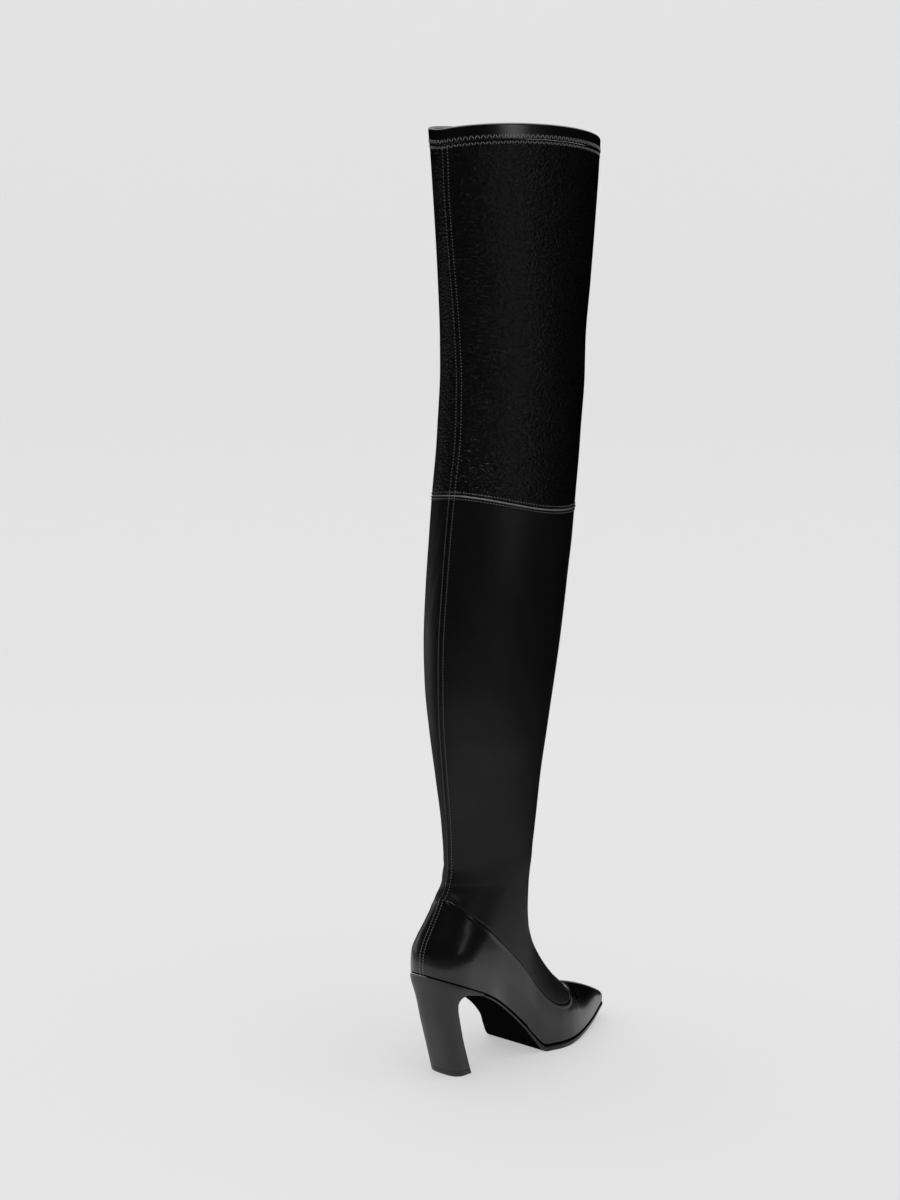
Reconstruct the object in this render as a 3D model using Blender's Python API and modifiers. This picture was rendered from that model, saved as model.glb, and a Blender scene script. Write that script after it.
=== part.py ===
"""Thigh high stretch boot for the right foot, with a chisel toe and a curved block heel.

The boot is lofted from one form: a lasting edge in plan and in side view, a line down the back,
a ridge line from the toe over the instep to the rim, and a half width for every place between them.
Each leather panel is an open surface cut from that form, given its wall by Solidify.
Lengths are in millimetres until a point is made, +X to the toe, +Y to the inner side, +Z up.
The origin is the middle of the heel's tread on the floor.
"""
import math

import bmesh
import bpy
import numpy as np

MM = 0.001

# Driving dimensions
FOOT_LENGTH = 232.0
BALL_WIDTH = 73.0
HEEL_HEIGHT = 87.0
TOE_SPRING = 10.0
TOE_WALL_HEIGHT = 6.5
SOLE_THICKNESS = 5.2
BOOT_HEIGHT = 767.0
RIM_RISE = 12.0
RIM_BOW_OUTER = 2.0
RIM_BOW_INNER = 15.0
RIM_BOW_SQUARE = 0.7
COLLAR_HEIGHT = 12.0
KNEE_SEAM_HEIGHT = 474.0
KNEE_SEAM_DIP_OUTER = 11.5
KNEE_SEAM_DIP_INNER = 3.0
KNEE_SEAM_DIP_FRONT = 6.0
ANKLE_SEAM_HEIGHT = 145.2
ANKLE_SEAM_SET = 24.4
ANKLE_FRONT_HEIGHT = 170.0
THROAT_SHARE = 0.755
THROAT_DROP = 22.0
THIGH_DEPTH = 176.0
THIGH_WIDTH = 103.0
ANKLE_DEPTH = 93.3
SHAFT_LEAN = 22.4
HEEL_BASE_WIDTH = 34.2
HEEL_BASE_DEPTH = 17.6
HEEL_BASE_SET = 23.5
TOP_PIECE_THICKNESS = 4.7
HEEL_SEAT_REACH = 45.0
HEEL_LIP_THICKNESS = 1.6
SEAT_EDGE = 0.5
BREAST_HOLLOW = 1.4
INSOLE_THICKNESS = 2.4
INSOLE_CLEARANCE = 0.8
FOOT_WALL = 1.8
SHAFT_WALL = 1.4
COLLAR_WALL = 2.2
COLLAR_PROUD = 0.4
LASTING_BAND = 2.5
SIDE_BULGE_RISE = 22.0
LEG_BLEND_START = 22.0
LEG_BLEND_TOP = 152.0
SEAT_ROUND = 28.0
SEAT_SQUARE = 2.2
COUNTER_ROUND_TOP = 125.0
TOE_ROUND = 7.0
FEATHER_INSET = 0.9
FEATHER_DEPTH = 0.9
SOLE_MARGIN = 0.4
GAP = 0.3
SEAM_GAP = 0.4

ORIGIN_X = HEEL_BASE_SET + HEEL_BASE_DEPTH / 2

# Lasting edge in plan. Columns: share of the foot length, middle line to the inner side,
# half width of the edge and half width of the leather body above it, as shares of the ball width
PLAN = (
    (0.000, 0.000, 0.385, 0.405),
    (0.120, 0.000, 0.385, 0.406),
    (0.215, -0.010, 0.369, 0.400),
    (0.345, -0.021, 0.295, 0.378),
    (0.409, -0.003, 0.318, 0.397),
    (0.474, 0.034, 0.390, 0.438),
    (0.517, 0.044, 0.442, 0.473),
    (0.560, 0.033, 0.475, 0.493),
    (0.603, 0.019, 0.495, 0.507),
    (0.647, 0.014, 0.497, 0.505),
    (0.690, 0.017, 0.483, 0.489),
    (0.733, 0.026, 0.458, 0.460),
    (0.797, 0.041, 0.404, 0.404),
    (0.862, 0.058, 0.339, 0.339),
    (0.927, 0.075, 0.267, 0.267),
    (0.970, 0.086, 0.222, 0.222),
    (1.000, 0.090, 0.195, 0.195),
)

# Lasting edge in side view. Columns: share of the foot length, rise as a share of the heel's rise
# over the sole, toe spring taken up, thickness of the outsole as a share of its thickness at the tread
EDGE = (
    (0.000, 1.000, 0.00, 0.33),
    (0.086, 0.896, 0.00, 0.33),
    (0.172, 0.791, 0.00, 0.35),
    (0.237, 0.699, 0.00, 0.38),
    (0.302, 0.589, 0.00, 0.41),
    (0.366, 0.448, 0.00, 0.45),
    (0.409, 0.340, 0.00, 0.51),
    (0.440, 0.256, 0.00, 0.58),
    (0.472, 0.151, 0.00, 0.70),
    (0.507, 0.040, 0.00, 0.92),
    (0.530, 0.000, 0.00, 1.00),
    (0.616, 0.000, 0.00, 1.00),
    (0.681, 0.000, 0.08, 0.90),
    (0.776, 0.000, 0.26, 0.79),
    (0.884, 0.000, 0.50, 0.69),
    (0.950, 0.000, 0.75, 0.62),
    (1.000, 0.000, 1.00, 0.56),
)
TREAD_START = 0.530
TREAD_END = 0.616

# Line down the back below the ankle seam. Columns: share of the way up from seat to ankle seam,
# share of the ankle seam's set forward of the seat
COUNTER = (
    (0.00, 0.02),
    (0.13, 0.01),
    (0.27, 0.03),
    (0.45, 0.20),
    (0.64, 0.48),
    (0.83, 0.77),
    (1.00, 1.00),
)

# Shaft. Columns: share of the way up from the ankle seam to the rim, set of the back as a share of the
# foot length, depth and width as shares of those at the thigh, lean to the outer side as a share
SHAFT = (
    (0.000, 0.105, 0.000, 0.532, 0.03),
    (0.020, 0.133, 0.526, 0.532, 0.04),
    (0.040, 0.141, 0.530, 0.532, 0.05),
    (0.089, 0.136, 0.559, 0.578, 0.03),
    (0.153, 0.117, 0.607, 0.676, 0.01),
    (0.217, 0.095, 0.660, 0.800, 0.03),
    (0.281, 0.075, 0.713, 0.893, 0.08),
    (0.346, 0.068, 0.747, 0.955, 0.16),
    (0.410, 0.073, 0.762, 0.984, 0.24),
    (0.474, 0.084, 0.779, 0.992, 0.29),
    (0.526, 0.095, 0.783, 0.994, 0.32),
    (0.603, 0.111, 0.787, 0.982, 0.39),
    (0.667, 0.113, 0.797, 0.976, 0.49),
    (0.732, 0.100, 0.804, 0.975, 0.62),
    (0.812, 0.068, 0.863, 0.977, 0.77),
    (0.892, 0.033, 0.926, 0.986, 0.90),
    (0.981, -0.003, 0.993, 0.998, 0.99),
    (1.000, -0.010, 1.003, 1.000, 1.00),
)

# Ridge from the toe's upper edge to the front of the ankle. Columns: share of the way back and of the
# way up, rounding of the section below the ridge as a share of half the ankle's depth, squareness
RIDGE = (
    (0.000, 0.000, 0.15, 3.2),
    (0.028, 0.016, 0.16, 3.2),
    (0.113, 0.047, 0.27, 3.0),
    (0.227, 0.079, 0.37, 2.8),
    (0.349, 0.105, 0.47, 2.6),
    (0.530, 0.138, 0.62, 2.4),
    (0.712, 0.225, 0.78, 2.3),
    (0.840, 0.323, 0.90, 2.15),
    (0.925, 0.416, 0.97, 2.05),
    (0.990, 0.505, 1.00, 2.0),
    (1.031, 0.598, 1.00, 2.0),
    (1.043, 0.696, 1.00, 2.0),
    (1.034, 0.838, 1.00, 2.0),
    (1.000, 1.000, 1.00, 2.0),
)

# Ankle seam along the side, then round the throat. Columns: share of the way forward from the back to
# the throat, share of the way down to the seam's lowest place
SEAM_SIDE = (
    (0.000, 0.000),
    (0.044, 0.068),
    (0.216, 0.248),
    (0.391, 0.433),
    (0.589, 0.665),
    (0.694, 0.812),
    (0.781, 0.917),
    (0.875, 0.985),
    (0.953, 1.000),
)
SEAM_THROAT = (
    (0.990, 0.05),
    (1.016, 0.17),
    (1.025, 0.40),
    (1.014, 0.66),
    (1.000, 1.00),
)

# Heel block. Columns: set of the back as a share of the base's set, share of the way up from the lift
# to the seat at the back, front as a share of the seat's reach, share of the way up at the front, half
# width as a share of the base's half width, rounding of the back corners as a share of the half width,
# squareness
HEEL = (
    (0.940, 0.000, 0.876, 0.000, 1.00, 0.75, 3.0),
    (0.783, 0.146, 0.784, 0.141, 1.01, 0.76, 2.9),
    (0.583, 0.341, 0.671, 0.317, 1.04, 0.78, 2.8),
    (0.408, 0.512, 0.576, 0.488, 1.09, 0.80, 2.7),
    (0.281, 0.671, 0.489, 0.634, 1.17, 0.84, 2.6),
    (0.183, 0.805, 0.451, 0.720, 1.29, 0.88, 2.5),
    (0.098, 0.902, 0.478, 0.772, 1.43, 0.92, 2.4),
    (0.055, 0.951, 0.584, 0.794, 1.54, 0.95, 2.3),
    (0.038, 0.976, 0.756, 0.778, 1.62, 0.97, 2.2),
)

SIDE_COLUMNS = 22
TURN_WEIGHT = 20.0
FOOT_ROWS = (0.0, 0.025, 0.06, 0.10, 0.16, 0.24, 0.34, 0.46, 0.59, 0.73, 0.86, 0.97, 1.0)
INSTEP_ROWS = (0.0, 0.03, 0.12, 0.24, 0.38, 0.53, 0.68, 0.84, 1.0)
CALF_ROWS = 9
THIGH_ROWS = 8
CURVE_SAMPLES = 240
WAIST_STATIONS = 18
FOREPART_STATIONS = 13
INSOLE_STATIONS = 26
TIP_SET = 0.03
HEEL_STEPS = 8
BREAST_SHARES = (-0.5, 0.0, 0.5)


def clear_scene():
    """Remove whatever the scene holds."""
    for item in list(bpy.data.objects):
        bpy.data.objects.remove(item, do_unlink=True)


def curve_through(table, column):
    """Monotone cubic through one column of a table, as a function of the first column."""
    places = [row[0] for row in table]
    values = [row[column] for row in table]
    steps = [b - a for a, b in zip(places, places[1:])]
    slopes = [(b - a) / step for a, b, step in zip(values, values[1:], steps)]
    tangents = [slopes[0]]
    for before, after in zip(slopes, slopes[1:]):
        flat = before * after <= 0
        tangents.append(0.0 if flat else 2 * before * after / (before + after))
    tangents.append(slopes[-1])

    def value(at):
        at = min(max(at, places[0]), places[-1])
        index = max(i for i in range(len(steps)) if places[i] <= at)
        step = steps[index]
        t = (at - places[index]) / step
        rise = (3 - 2 * t) * t * t
        start = values[index] * (1 - rise) + values[index + 1] * rise
        bend = t * (1 - t) * step
        return start + bend * ((1 - t) * tangents[index] - t * tangents[index + 1])

    return value


def columns_of(table):
    """One smooth function for each column after the first."""
    return [curve_through(table, column) for column in range(1, len(table[0]))]


def smooth_step(value):
    """Ease from 0 to 1."""
    value = min(max(value, 0.0), 1.0)
    return value * value * (3 - 2 * value)


def rounding(depth, square):
    """Share of the full half width at a depth, in roundings, below an edge."""
    if depth >= 1:
        return 1.0
    return max(0.0, 1 - (1 - max(depth, 0.0)) ** square) ** (1 / square)


plan_middle, plan_half, plan_body = columns_of(PLAN)
edge_rise, edge_spring, edge_thickness = columns_of(EDGE)
counter_set = curve_through(COUNTER, 1)
shaft_back, shaft_depth, shaft_width, shaft_lean = columns_of(SHAFT)


def edge_height(x):
    """Height of the lasting edge, where the upper meets the sole."""
    share = x / FOOT_LENGTH
    tread = SOLE_THICKNESS + GAP
    return tread + (HEEL_HEIGHT - tread) * edge_rise(share) + TOE_SPRING * edge_spring(share)


def shaft_share(z):
    """Share of the way up from the ankle seam to the rim."""
    return (z - ANKLE_SEAM_HEIGHT) / (BOOT_HEIGHT - ANKLE_SEAM_HEIGHT)


def back_line(z):
    """Set of the back of the boot at a height."""
    if z < ANKLE_SEAM_HEIGHT:
        share = (z - HEEL_HEIGHT) / (ANKLE_SEAM_HEIGHT - HEEL_HEIGHT)
        return ANKLE_SEAM_SET * counter_set(share)
    first, second = SHAFT[0], SHAFT[1]
    share = shaft_share(z)
    if share < second[0]:
        turn = math.sin(math.pi / 2 * share / second[0])
        return ANKLE_SEAM_SET + (FOOT_LENGTH * second[1] - ANKLE_SEAM_SET) * turn
    return FOOT_LENGTH * shaft_back(max(share, first[0]))


def half_depth(z):
    """Half the shaft's depth, and the rounding of the back below it."""
    if z >= ANKLE_FRONT_HEIGHT:
        return THIGH_DEPTH * shaft_depth(shaft_share(z)) / 2
    share = smooth_step((z - HEEL_HEIGHT) / (COUNTER_ROUND_TOP - HEEL_HEIGHT))
    return SEAT_ROUND + (ANKLE_DEPTH / 2 - SEAT_ROUND) * share


def ridge_points():
    """Ridge in side view from the lasting edge at the toe to the rim: x, z, rounding, squareness."""
    toe_z = edge_height(FOOT_LENGTH)
    ankle_x = back_line(ANKLE_FRONT_HEIGHT) + ANKLE_DEPTH
    start = np.array([FOOT_LENGTH, toe_z + TOE_WALL_HEIGHT])
    reach = np.array([ankle_x, ANKLE_FRONT_HEIGHT]) - start
    lengths = [0.0]
    for row, after in zip(RIDGE, RIDGE[1:]):
        lengths.append(lengths[-1] + math.dist(reach * row[:2], reach * after[:2]))
    along = [(length,) + row for length, row in zip(lengths, RIDGE)]
    back, up, depth, square = columns_of(along)
    points = [(FOOT_LENGTH, toe_z, TOE_ROUND, RIDGE[0][3])]
    for step in range(CURVE_SAMPLES + 1):
        at = lengths[-1] * step / CURVE_SAMPLES
        x, z = start + reach * np.array([back(at), up(at)])
        points.append((x, z, ANKLE_DEPTH / 2 * depth(at), square(at)))
    for step in range(1, CURVE_SAMPLES + 1):
        z = ANKLE_FRONT_HEIGHT + (BOOT_HEIGHT - ANKLE_FRONT_HEIGHT) * step / CURVE_SAMPLES
        share = smooth_step((z - ANKLE_FRONT_HEIGHT) / ANKLE_DEPTH)
        full = back_line(z) + 2 * half_depth(z)
        thin = back_line(z) + ANKLE_DEPTH * half_depth(z) / half_depth(ANKLE_FRONT_HEIGHT)
        points.append((thin + (full - thin) * share, z, half_depth(z), RIDGE[-1][3]))
    return np.array(points)


RIDGE_LINE = ridge_points()


def front_line(z):
    """Set of the front of the shaft at a height above the ankle's front."""
    shaft = RIDGE_LINE[CURVE_SAMPLES + 1:]
    return float(np.interp(z, shaft[:, 1], shaft[:, 0]))


def ridge_at_x(x):
    """Height of the ridge over the vamp at a distance from the seat."""
    vamp = RIDGE_LINE[1:CURVE_SAMPLES // 2 + 1]
    return float(np.interp(-x, -vamp[:, 0], vamp[:, 1]))


def nearest_on_ridge(x, z):
    """Distance to the ridge, the stretch of it that is nearest and the share of the way along that."""
    starts = RIDGE_LINE[:-1, :2]
    runs = RIDGE_LINE[1:, :2] - starts
    away = np.array([x, z]) - starts
    shares = np.clip((away * runs).sum(axis=1) / (runs * runs).sum(axis=1), 0.0, 1.0)
    distances = np.hypot(*(away - runs * shares[:, None]).T)
    nearest = int(distances.argmin())
    return float(distances[nearest]), nearest, float(shares[nearest])


def ridge_factor(x, z):
    """Rounding of the section under the ridge, from the distance to the nearest stretch of it."""
    distance, nearest, share = nearest_on_ridge(x, z)
    depth, square = RIDGE_LINE[nearest, 2:] * (1 - share) + RIDGE_LINE[nearest + 1, 2:] * share
    return rounding(distance / depth, square)


def leg_share(x, z):
    """How far a place belongs to the leg, and not to the foot."""
    start = edge_height(x) + LEG_BLEND_START
    return smooth_step((z - start) / (LEG_BLEND_TOP - start))


def middle_line(x, z):
    """Distance of the boot's middle to the inner side."""
    foot = BALL_WIDTH * plan_middle(x / FOOT_LENGTH)
    leg = -SHAFT_LEAN * shaft_lean(shaft_share(z))
    share = leg_share(x, z)
    return foot + (leg - foot) * share


def half_width(x, z):
    """Half width of the boot at a place in side view."""
    share = x / FOOT_LENGTH
    bulge = smooth_step((z - edge_height(x) - LASTING_BAND) / SIDE_BULGE_RISE)
    foot = BALL_WIDTH * (plan_half(share) + (plan_body(share) - plan_half(share)) * bulge)
    leg = THIGH_WIDTH / 2 * shaft_width(shaft_share(z))
    width = foot + (leg - foot) * leg_share(x, z)
    behind = (x - back_line(z)) / half_depth(z)
    square = SEAT_SQUARE + (2 - SEAT_SQUARE) * leg_share(x, z)
    return width * rounding(behind, square) * ridge_factor(x, z)


def form_point(x, z, side, proud=0.0):
    """Point of the boot's form: side is -1 on the outer side, 1 on the inner side."""
    return (x, middle_line(x, z) + side * (half_width(x, z) + proud), z)


def even_columns(places):
    """Re-space a line of (x, z) places evenly along the form, closer where it turns in plan."""
    points = [form_point(x, z, -1) for x, z in places]
    lengths = [0.0]
    heading = -math.pi / 2
    for before, after in zip(points, points[1:]):
        turned = math.atan2(after[1] - before[1], after[0] - before[0])
        lengths.append(lengths[-1] + math.dist(before, after) + TURN_WEIGHT * abs(turned - heading))
        heading = turned
    wanted = [lengths[-1] * i / SIDE_COLUMNS for i in range(SIDE_COLUMNS + 1)]
    return [
        (float(np.interp(at, lengths, [p[0] for p in places])),
         float(np.interp(at, lengths, [p[1] for p in places])))
        for at in wanted
    ]


def edge_line():
    """Lasting edge from the back to the toe tip, crowded at both ends."""
    shares = [(1 - math.cos(math.pi * i / CURVE_SAMPLES)) / 2 for i in range(CURVE_SAMPLES + 1)]
    return even_columns([(FOOT_LENGTH * s, edge_height(FOOT_LENGTH * s)) for s in shares])


def throat_place():
    """Where the ankle seam crosses the ridge."""
    x = FOOT_LENGTH - (FOOT_LENGTH - RIDGE_LINE[CURVE_SAMPLES + 1, 0]) * THROAT_SHARE
    return x, ridge_at_x(x)


def ankle_seam_line():
    """Ankle seam from the back, down the side and up round the throat to the ridge."""
    throat_x, throat_z = throat_place()
    lowest = throat_z - THROAT_DROP
    reach = throat_x - ANKLE_SEAM_SET
    points = [
        (ANKLE_SEAM_SET + reach * forward, ANKLE_SEAM_HEIGHT + (lowest - ANKLE_SEAM_HEIGHT) * down)
        for forward, down in SEAM_SIDE
    ]
    points += [
        (ANKLE_SEAM_SET + reach * forward, lowest + THROAT_DROP * up) for forward, up in SEAM_THROAT
    ]
    lengths = [0.0]
    for before, after in zip(points, points[1:]):
        lengths.append(lengths[-1] + math.dist(before, after))
    x_along, z_along = columns_of([(at,) + point for at, point in zip(lengths, points)])
    ends = [lengths[-1] * (1 - math.cos(math.pi * i / CURVE_SAMPLES)) / 2 for i in range(CURVE_SAMPLES + 1)]
    return even_columns([(x_along(at), z_along(at)) for at in ends])


def level_line(height):
    """Line round the shaft, its height a function of the share of the way to the front."""
    places = []
    for column in range(SIDE_COLUMNS + 1):
        share = (1 - math.cos(math.pi * column / SIDE_COLUMNS)) / 2
        z = height(share)
        places.append((back_line(z) + (front_line(z) - back_line(z)) * share, z))
    return places


def knee_seam_height(share, side):
    """Height of the knee seam, which dips towards the front and on the outer side."""
    dip = KNEE_SEAM_DIP_OUTER if side < 0 else KNEE_SEAM_DIP_INNER
    bow = math.sin(math.pi * share)
    return KNEE_SEAM_HEIGHT - KNEE_SEAM_DIP_FRONT * share - (dip - KNEE_SEAM_DIP_FRONT / 2) * bow


def rim_height(share, side, below=0.0):
    """Height of the rim, which rises to the front and bows up, more on the inner side."""
    bow = RIM_BOW_INNER if side > 0 else RIM_BOW_OUTER
    return BOOT_HEIGHT - RIM_RISE * (1 - share) + bow * math.sin(math.pi * share) ** RIM_BOW_SQUARE - below


def patch(low, high, back, front, rows):
    """Rows of places between two lines, whose ends follow the back and the ridge (Coons patch)."""
    result = []
    for row in rows:
        back_place = np.array(back(row))
        front_place = np.array(front(row))
        straight_back = np.array(low[0]) * (1 - row) + np.array(high[0]) * row
        straight_front = np.array(low[-1]) * (1 - row) + np.array(high[-1]) * row
        line = []
        for column in range(SIDE_COLUMNS + 1):
            share = (1 - math.cos(math.pi * column / SIDE_COLUMNS)) / 2
            place = np.array(low[column]) * (1 - row) + np.array(high[column]) * row
            place = place + (back_place - straight_back) * (1 - share)
            place = place + (front_place - straight_front) * share
            line.append((float(place[0]), float(place[1])))
        result.append(line)
    return result


def back_between(low_z, high_z):
    """Place on the back line at a share of the way between two heights."""
    def place(row):
        z = low_z + (high_z - low_z) * row
        return back_line(z), z
    return place


def ridge_between(start, end):
    """Place on the ridge at a share of the way between two of its places."""
    points = RIDGE_LINE[:, :2]
    lengths = np.concatenate([[0.0], np.cumsum(np.hypot(*np.diff(points, axis=0).T))])

    def length_at(x, z):
        distance, nearest, share = nearest_on_ridge(x, z)
        return lengths[nearest] + (lengths[nearest + 1] - lengths[nearest]) * share

    first = length_at(*start)
    last = length_at(*end)

    def place(row):
        at = first + (last - first) * row
        return float(np.interp(at, lengths, points[:, 0])), float(np.interp(at, lengths, points[:, 1]))
    return place


def shift_line(line, amount):
    """Move the ankle seam square to itself, towards the leg, its ends along the back and the ridge."""
    moved = []
    for before, place, after in zip(line, line[1:], line[2:]):
        run_x = after[0] - before[0]
        run_z = after[1] - before[1]
        length = math.hypot(run_x, run_z)
        moved.append((place[0] - run_z / length * amount, place[1] + run_x / length * amount))
    back_z = line[0][1] + amount
    ridge_x = line[-1][0] - amount
    return [(back_line(back_z), back_z)] + moved + [(ridge_x, ridge_at_x(ridge_x))]


def ring_of(outer, inner, proud=0.0):
    """Closed ring of points: back, outer side, ridge, inner side."""
    outer_points = [form_point(x, z, -1, proud) for x, z in outer]
    inner_points = [form_point(x, z, 1, proud) for x, z in inner]
    for points in (outer_points, inner_points):
        for end in (0, -1):
            x, y, z = points[end]
            points[end] = (x, middle_line(x, z), z)
    return outer_points + inner_points[-2:0:-1]


def world(point):
    """Point of the boot in metres, from the origin under the heel."""
    x, y, z = point
    return ((x - ORIGIN_X) * MM, y * MM, z * MM)


def mesh_object(name, build, material, collection, smooth_angle=40.0):
    """Object whose mesh the given function builds in a bmesh."""
    mesh = bpy.data.meshes.new(name)
    shape = bmesh.new()
    build(shape)
    bmesh.ops.recalc_face_normals(shape, faces=shape.faces)
    shape.to_mesh(mesh)
    shape.free()
    mesh.shade_smooth()
    mesh.set_sharp_from_angle(angle=math.radians(smooth_angle))
    mesh.materials.append(material)
    item = bpy.data.objects.new(name, mesh)
    collection.objects.link(item)
    return item


def loft_rings(shape, rings):
    """Quads between rings of equal count; returns the rings of vertices."""
    loops = [[shape.verts.new(world(point)) for point in ring] for ring in rings]
    count = len(rings[0])
    for low, high in zip(loops, loops[1:]):
        for i in range(count):
            j = (i + 1) % count
            shape.faces.new((low[i], low[j], high[j], high[i]))
    return loops


def panel(name, rings, wall, material, collection):
    """Leather panel: an open surface given its wall inward."""
    def build(shape):
        loft_rings(shape, rings)

    item = mesh_object(name, build, material, collection)
    solid = item.modifiers.new("Wall", "SOLIDIFY")
    solid.thickness = wall * MM
    solid.offset = -1.0
    solid.use_even_offset = True
    solid.use_rim = True
    return item


def plan_edge(x, inset):
    """Half width of the lasting edge in plan, drawn in all round by an inset."""
    share = min(max(x / FOOT_LENGTH, 0.0), 1.0)
    width = BALL_WIDTH * plan_half(share) - inset
    back = rounding((x - inset) / SEAT_ROUND, SEAT_SQUARE)
    front = rounding((FOOT_LENGTH - inset - x) / TOE_ROUND, RIDGE[0][3])
    return max(width, 0.0) * back * front


def stations(start, end, count, round_start, round_end):
    """Places along the foot, crowded towards a rounded end."""
    places = []
    for step in range(count + 1):
        share = step / count
        if round_start and round_end:
            share = (1 - math.cos(math.pi * share)) / 2
        elif round_end:
            share = math.sin(math.pi / 2 * share)
        elif round_start:
            share = 1 - math.cos(math.pi / 2 * share)
        places.append(start + (end - start) * share)
    return places


def level_loop(places, inset, height):
    """Outline of the lasting edge at an inset: outer side forward, inner side back."""
    outer = []
    inner = []
    for x in places:
        middle = BALL_WIDTH * plan_middle(x / FOOT_LENGTH)
        width = plan_edge(x, inset)
        outer.append((x, middle - width, height(x)))
        inner.append((x, middle + width, height(x)))
    return outer + inner[::-1]


def cap_across(shape, loop, upward):
    """Strips of faces from the outer to the inner side of a loop with matching stations."""
    count = len(loop)
    for i in range(count // 2 - 1):
        face = (loop[i], loop[i + 1], loop[count - 2 - i], loop[count - 1 - i])
        shape.faces.new(face if upward else face[::-1])


def sole_slab(levels):
    """Function that builds a slab from loops given from its top to its underside."""
    def build(shape):
        loops = loft_rings(shape, levels[::-1])
        cap_across(shape, loops[-1], True)
        cap_across(shape, loops[0], False)
    return build


def drawn_in(places, amount, at_start, at_end):
    """The same stations with the ends drawn in."""
    start = places[0] + (amount if at_start else 0.0)
    end = places[-1] - (amount if at_end else 0.0)
    span = places[-1] - places[0]
    return [start + (end - start) * (x - places[0]) / span for x in places]


def outsole(material, collection):
    """Outsole from the heel's lip to the toe, with a feather groove and a flat tread."""
    start = HEEL_SEAT_REACH + GAP
    tread = (FOOT_LENGTH * TREAD_START, FOOT_LENGTH * TREAD_END)
    places = stations(start, tread[0], WAIST_STATIONS, False, False)
    places += stations(tread[1], FOOT_LENGTH - TIP_SET, FOREPART_STATIONS, False, True)

    def top(x):
        return edge_height(x) - GAP

    def under(x):
        return top(x) - SOLE_THICKNESS * edge_thickness(x / FOOT_LENGTH)

    def feather(x):
        return top(x) - min(FEATHER_DEPTH, (top(x) - under(x)) / 3)

    inset_places = drawn_in(places, FEATHER_INSET, False, True)
    wide_places = drawn_in(places, -SOLE_MARGIN, False, True)
    levels = [
        level_loop(inset_places, FEATHER_INSET, top),
        level_loop(inset_places, FEATHER_INSET, feather),
        level_loop(wide_places, -SOLE_MARGIN, feather),
        level_loop(wide_places, -SOLE_MARGIN, lambda x: under(x) + (feather(x) - under(x)) / 4),
        level_loop(places, 0.0, under),
    ]
    return mesh_object("outsole", sole_slab(levels), material, collection, 30.0)


def insole(material, collection):
    """Insole that closes the inside of the foot, from the seat to the toe."""
    inset = FOOT_WALL + INSOLE_CLEARANCE
    places = stations(inset, FOOT_LENGTH - inset, INSOLE_STATIONS, True, True)
    places[0] += TIP_SET
    places[-1] -= TIP_SET
    levels = [
        level_loop(places, inset, lambda x: edge_height(x) + INSOLE_THICKNESS),
        level_loop(places, inset, edge_height),
    ]
    return mesh_object("insole", sole_slab(levels), material, collection, 30.0)


def heel_ring(back, front, half, round_back, square, hollow):
    """One section of the heel: back middle, outer side, breast, inner side."""
    reach = math.dist(back, front)
    outer = []
    inner = []
    for step in range(HEEL_STEPS + 1):
        share = 1 - math.cos(math.pi / 2 * step / HEEL_STEPS)
        x = back[0] + (front[0] - back[0]) * share
        z = back[1] + (front[1] - back[1]) * share
        width = half * rounding(reach * share / round_back, square)
        outer.append((x, -width, z))
        inner.append((x, width, z))
    breast = []
    for share in BREAST_SHARES:
        depth = hollow * (1 - share * share)
        breast.append((front[0] - depth, half * share, front[1]))
    return outer + breast + inner[:0:-1]


def heel_sections():
    """Planar sections of the heel from its base to just under the seat."""
    rings = []
    base_half = HEEL_BASE_WIDTH / 2
    base = TOP_PIECE_THICKNESS + GAP
    rise = HEEL_HEIGHT - base
    for back, back_up, front, front_up, half, corner, square in HEEL:
        width = base_half * half
        hollow = BREAST_HOLLOW * (HEEL[-1][4] - half) / (HEEL[-1][4] - HEEL[0][4])
        rings.append(heel_ring(
            (HEEL_BASE_SET * back, base + rise * back_up),
            (HEEL_SEAT_REACH * front, base + rise * front_up),
            width, width * corner, square, hollow,
        ))
    return rings


def seat_ring(drop_back, drop_front):
    """Section of the heel that follows the seat, dropped from it by a depth at each end."""
    outer = []
    inner = []
    for step in range(HEEL_STEPS + 1):
        x = HEEL_SEAT_REACH * (1 - math.cos(math.pi / 2 * step / HEEL_STEPS))
        drop = drop_back + (drop_front - drop_back) * x / HEEL_SEAT_REACH
        middle = BALL_WIDTH * plan_middle(x / FOOT_LENGTH)
        width = plan_edge(x, 0.0)
        outer.append((x, middle - width, edge_height(x) - drop))
        inner.append((x, middle + width, edge_height(x) - drop))
    front = outer[-1]
    width = plan_edge(HEEL_SEAT_REACH, 0.0)
    middle = BALL_WIDTH * plan_middle(HEEL_SEAT_REACH / FOOT_LENGTH)
    breast = [(front[0], middle + width * share, front[2]) for share in BREAST_SHARES]
    return outer + breast + inner[:0:-1]


def cap_heel(shape, loop, upward):
    """Close a heel section with strips from side to side."""
    count = len(loop)
    inner = {i: loop[count - i] for i in range(1, HEEL_STEPS + 1)}
    faces = [(loop[0], loop[1], inner[1])]
    for i in range(1, HEEL_STEPS - 1):
        faces.append((loop[i], loop[i + 1], inner[i + 1], inner[i]))
    last = HEEL_STEPS
    faces.append((loop[last - 1], *loop[last:last + 5], inner[last - 1]))
    for face in faces:
        shape.faces.new(face if upward else face[::-1])


def heel_block(material, collection):
    """Covered heel block, curved at the back, its breast arched into a lip under the seat."""
    rings = heel_sections()
    rings.append(seat_ring(GAP + SEAT_EDGE, GAP + HEEL_LIP_THICKNESS))
    rings.append(seat_ring(GAP, GAP))

    def build(shape):
        loops = loft_rings(shape, rings)
        cap_heel(shape, loops[0], False)
        cap_heel(shape, loops[-1], True)

    return mesh_object("heel_block", build, material, collection, 35.0)


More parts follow.
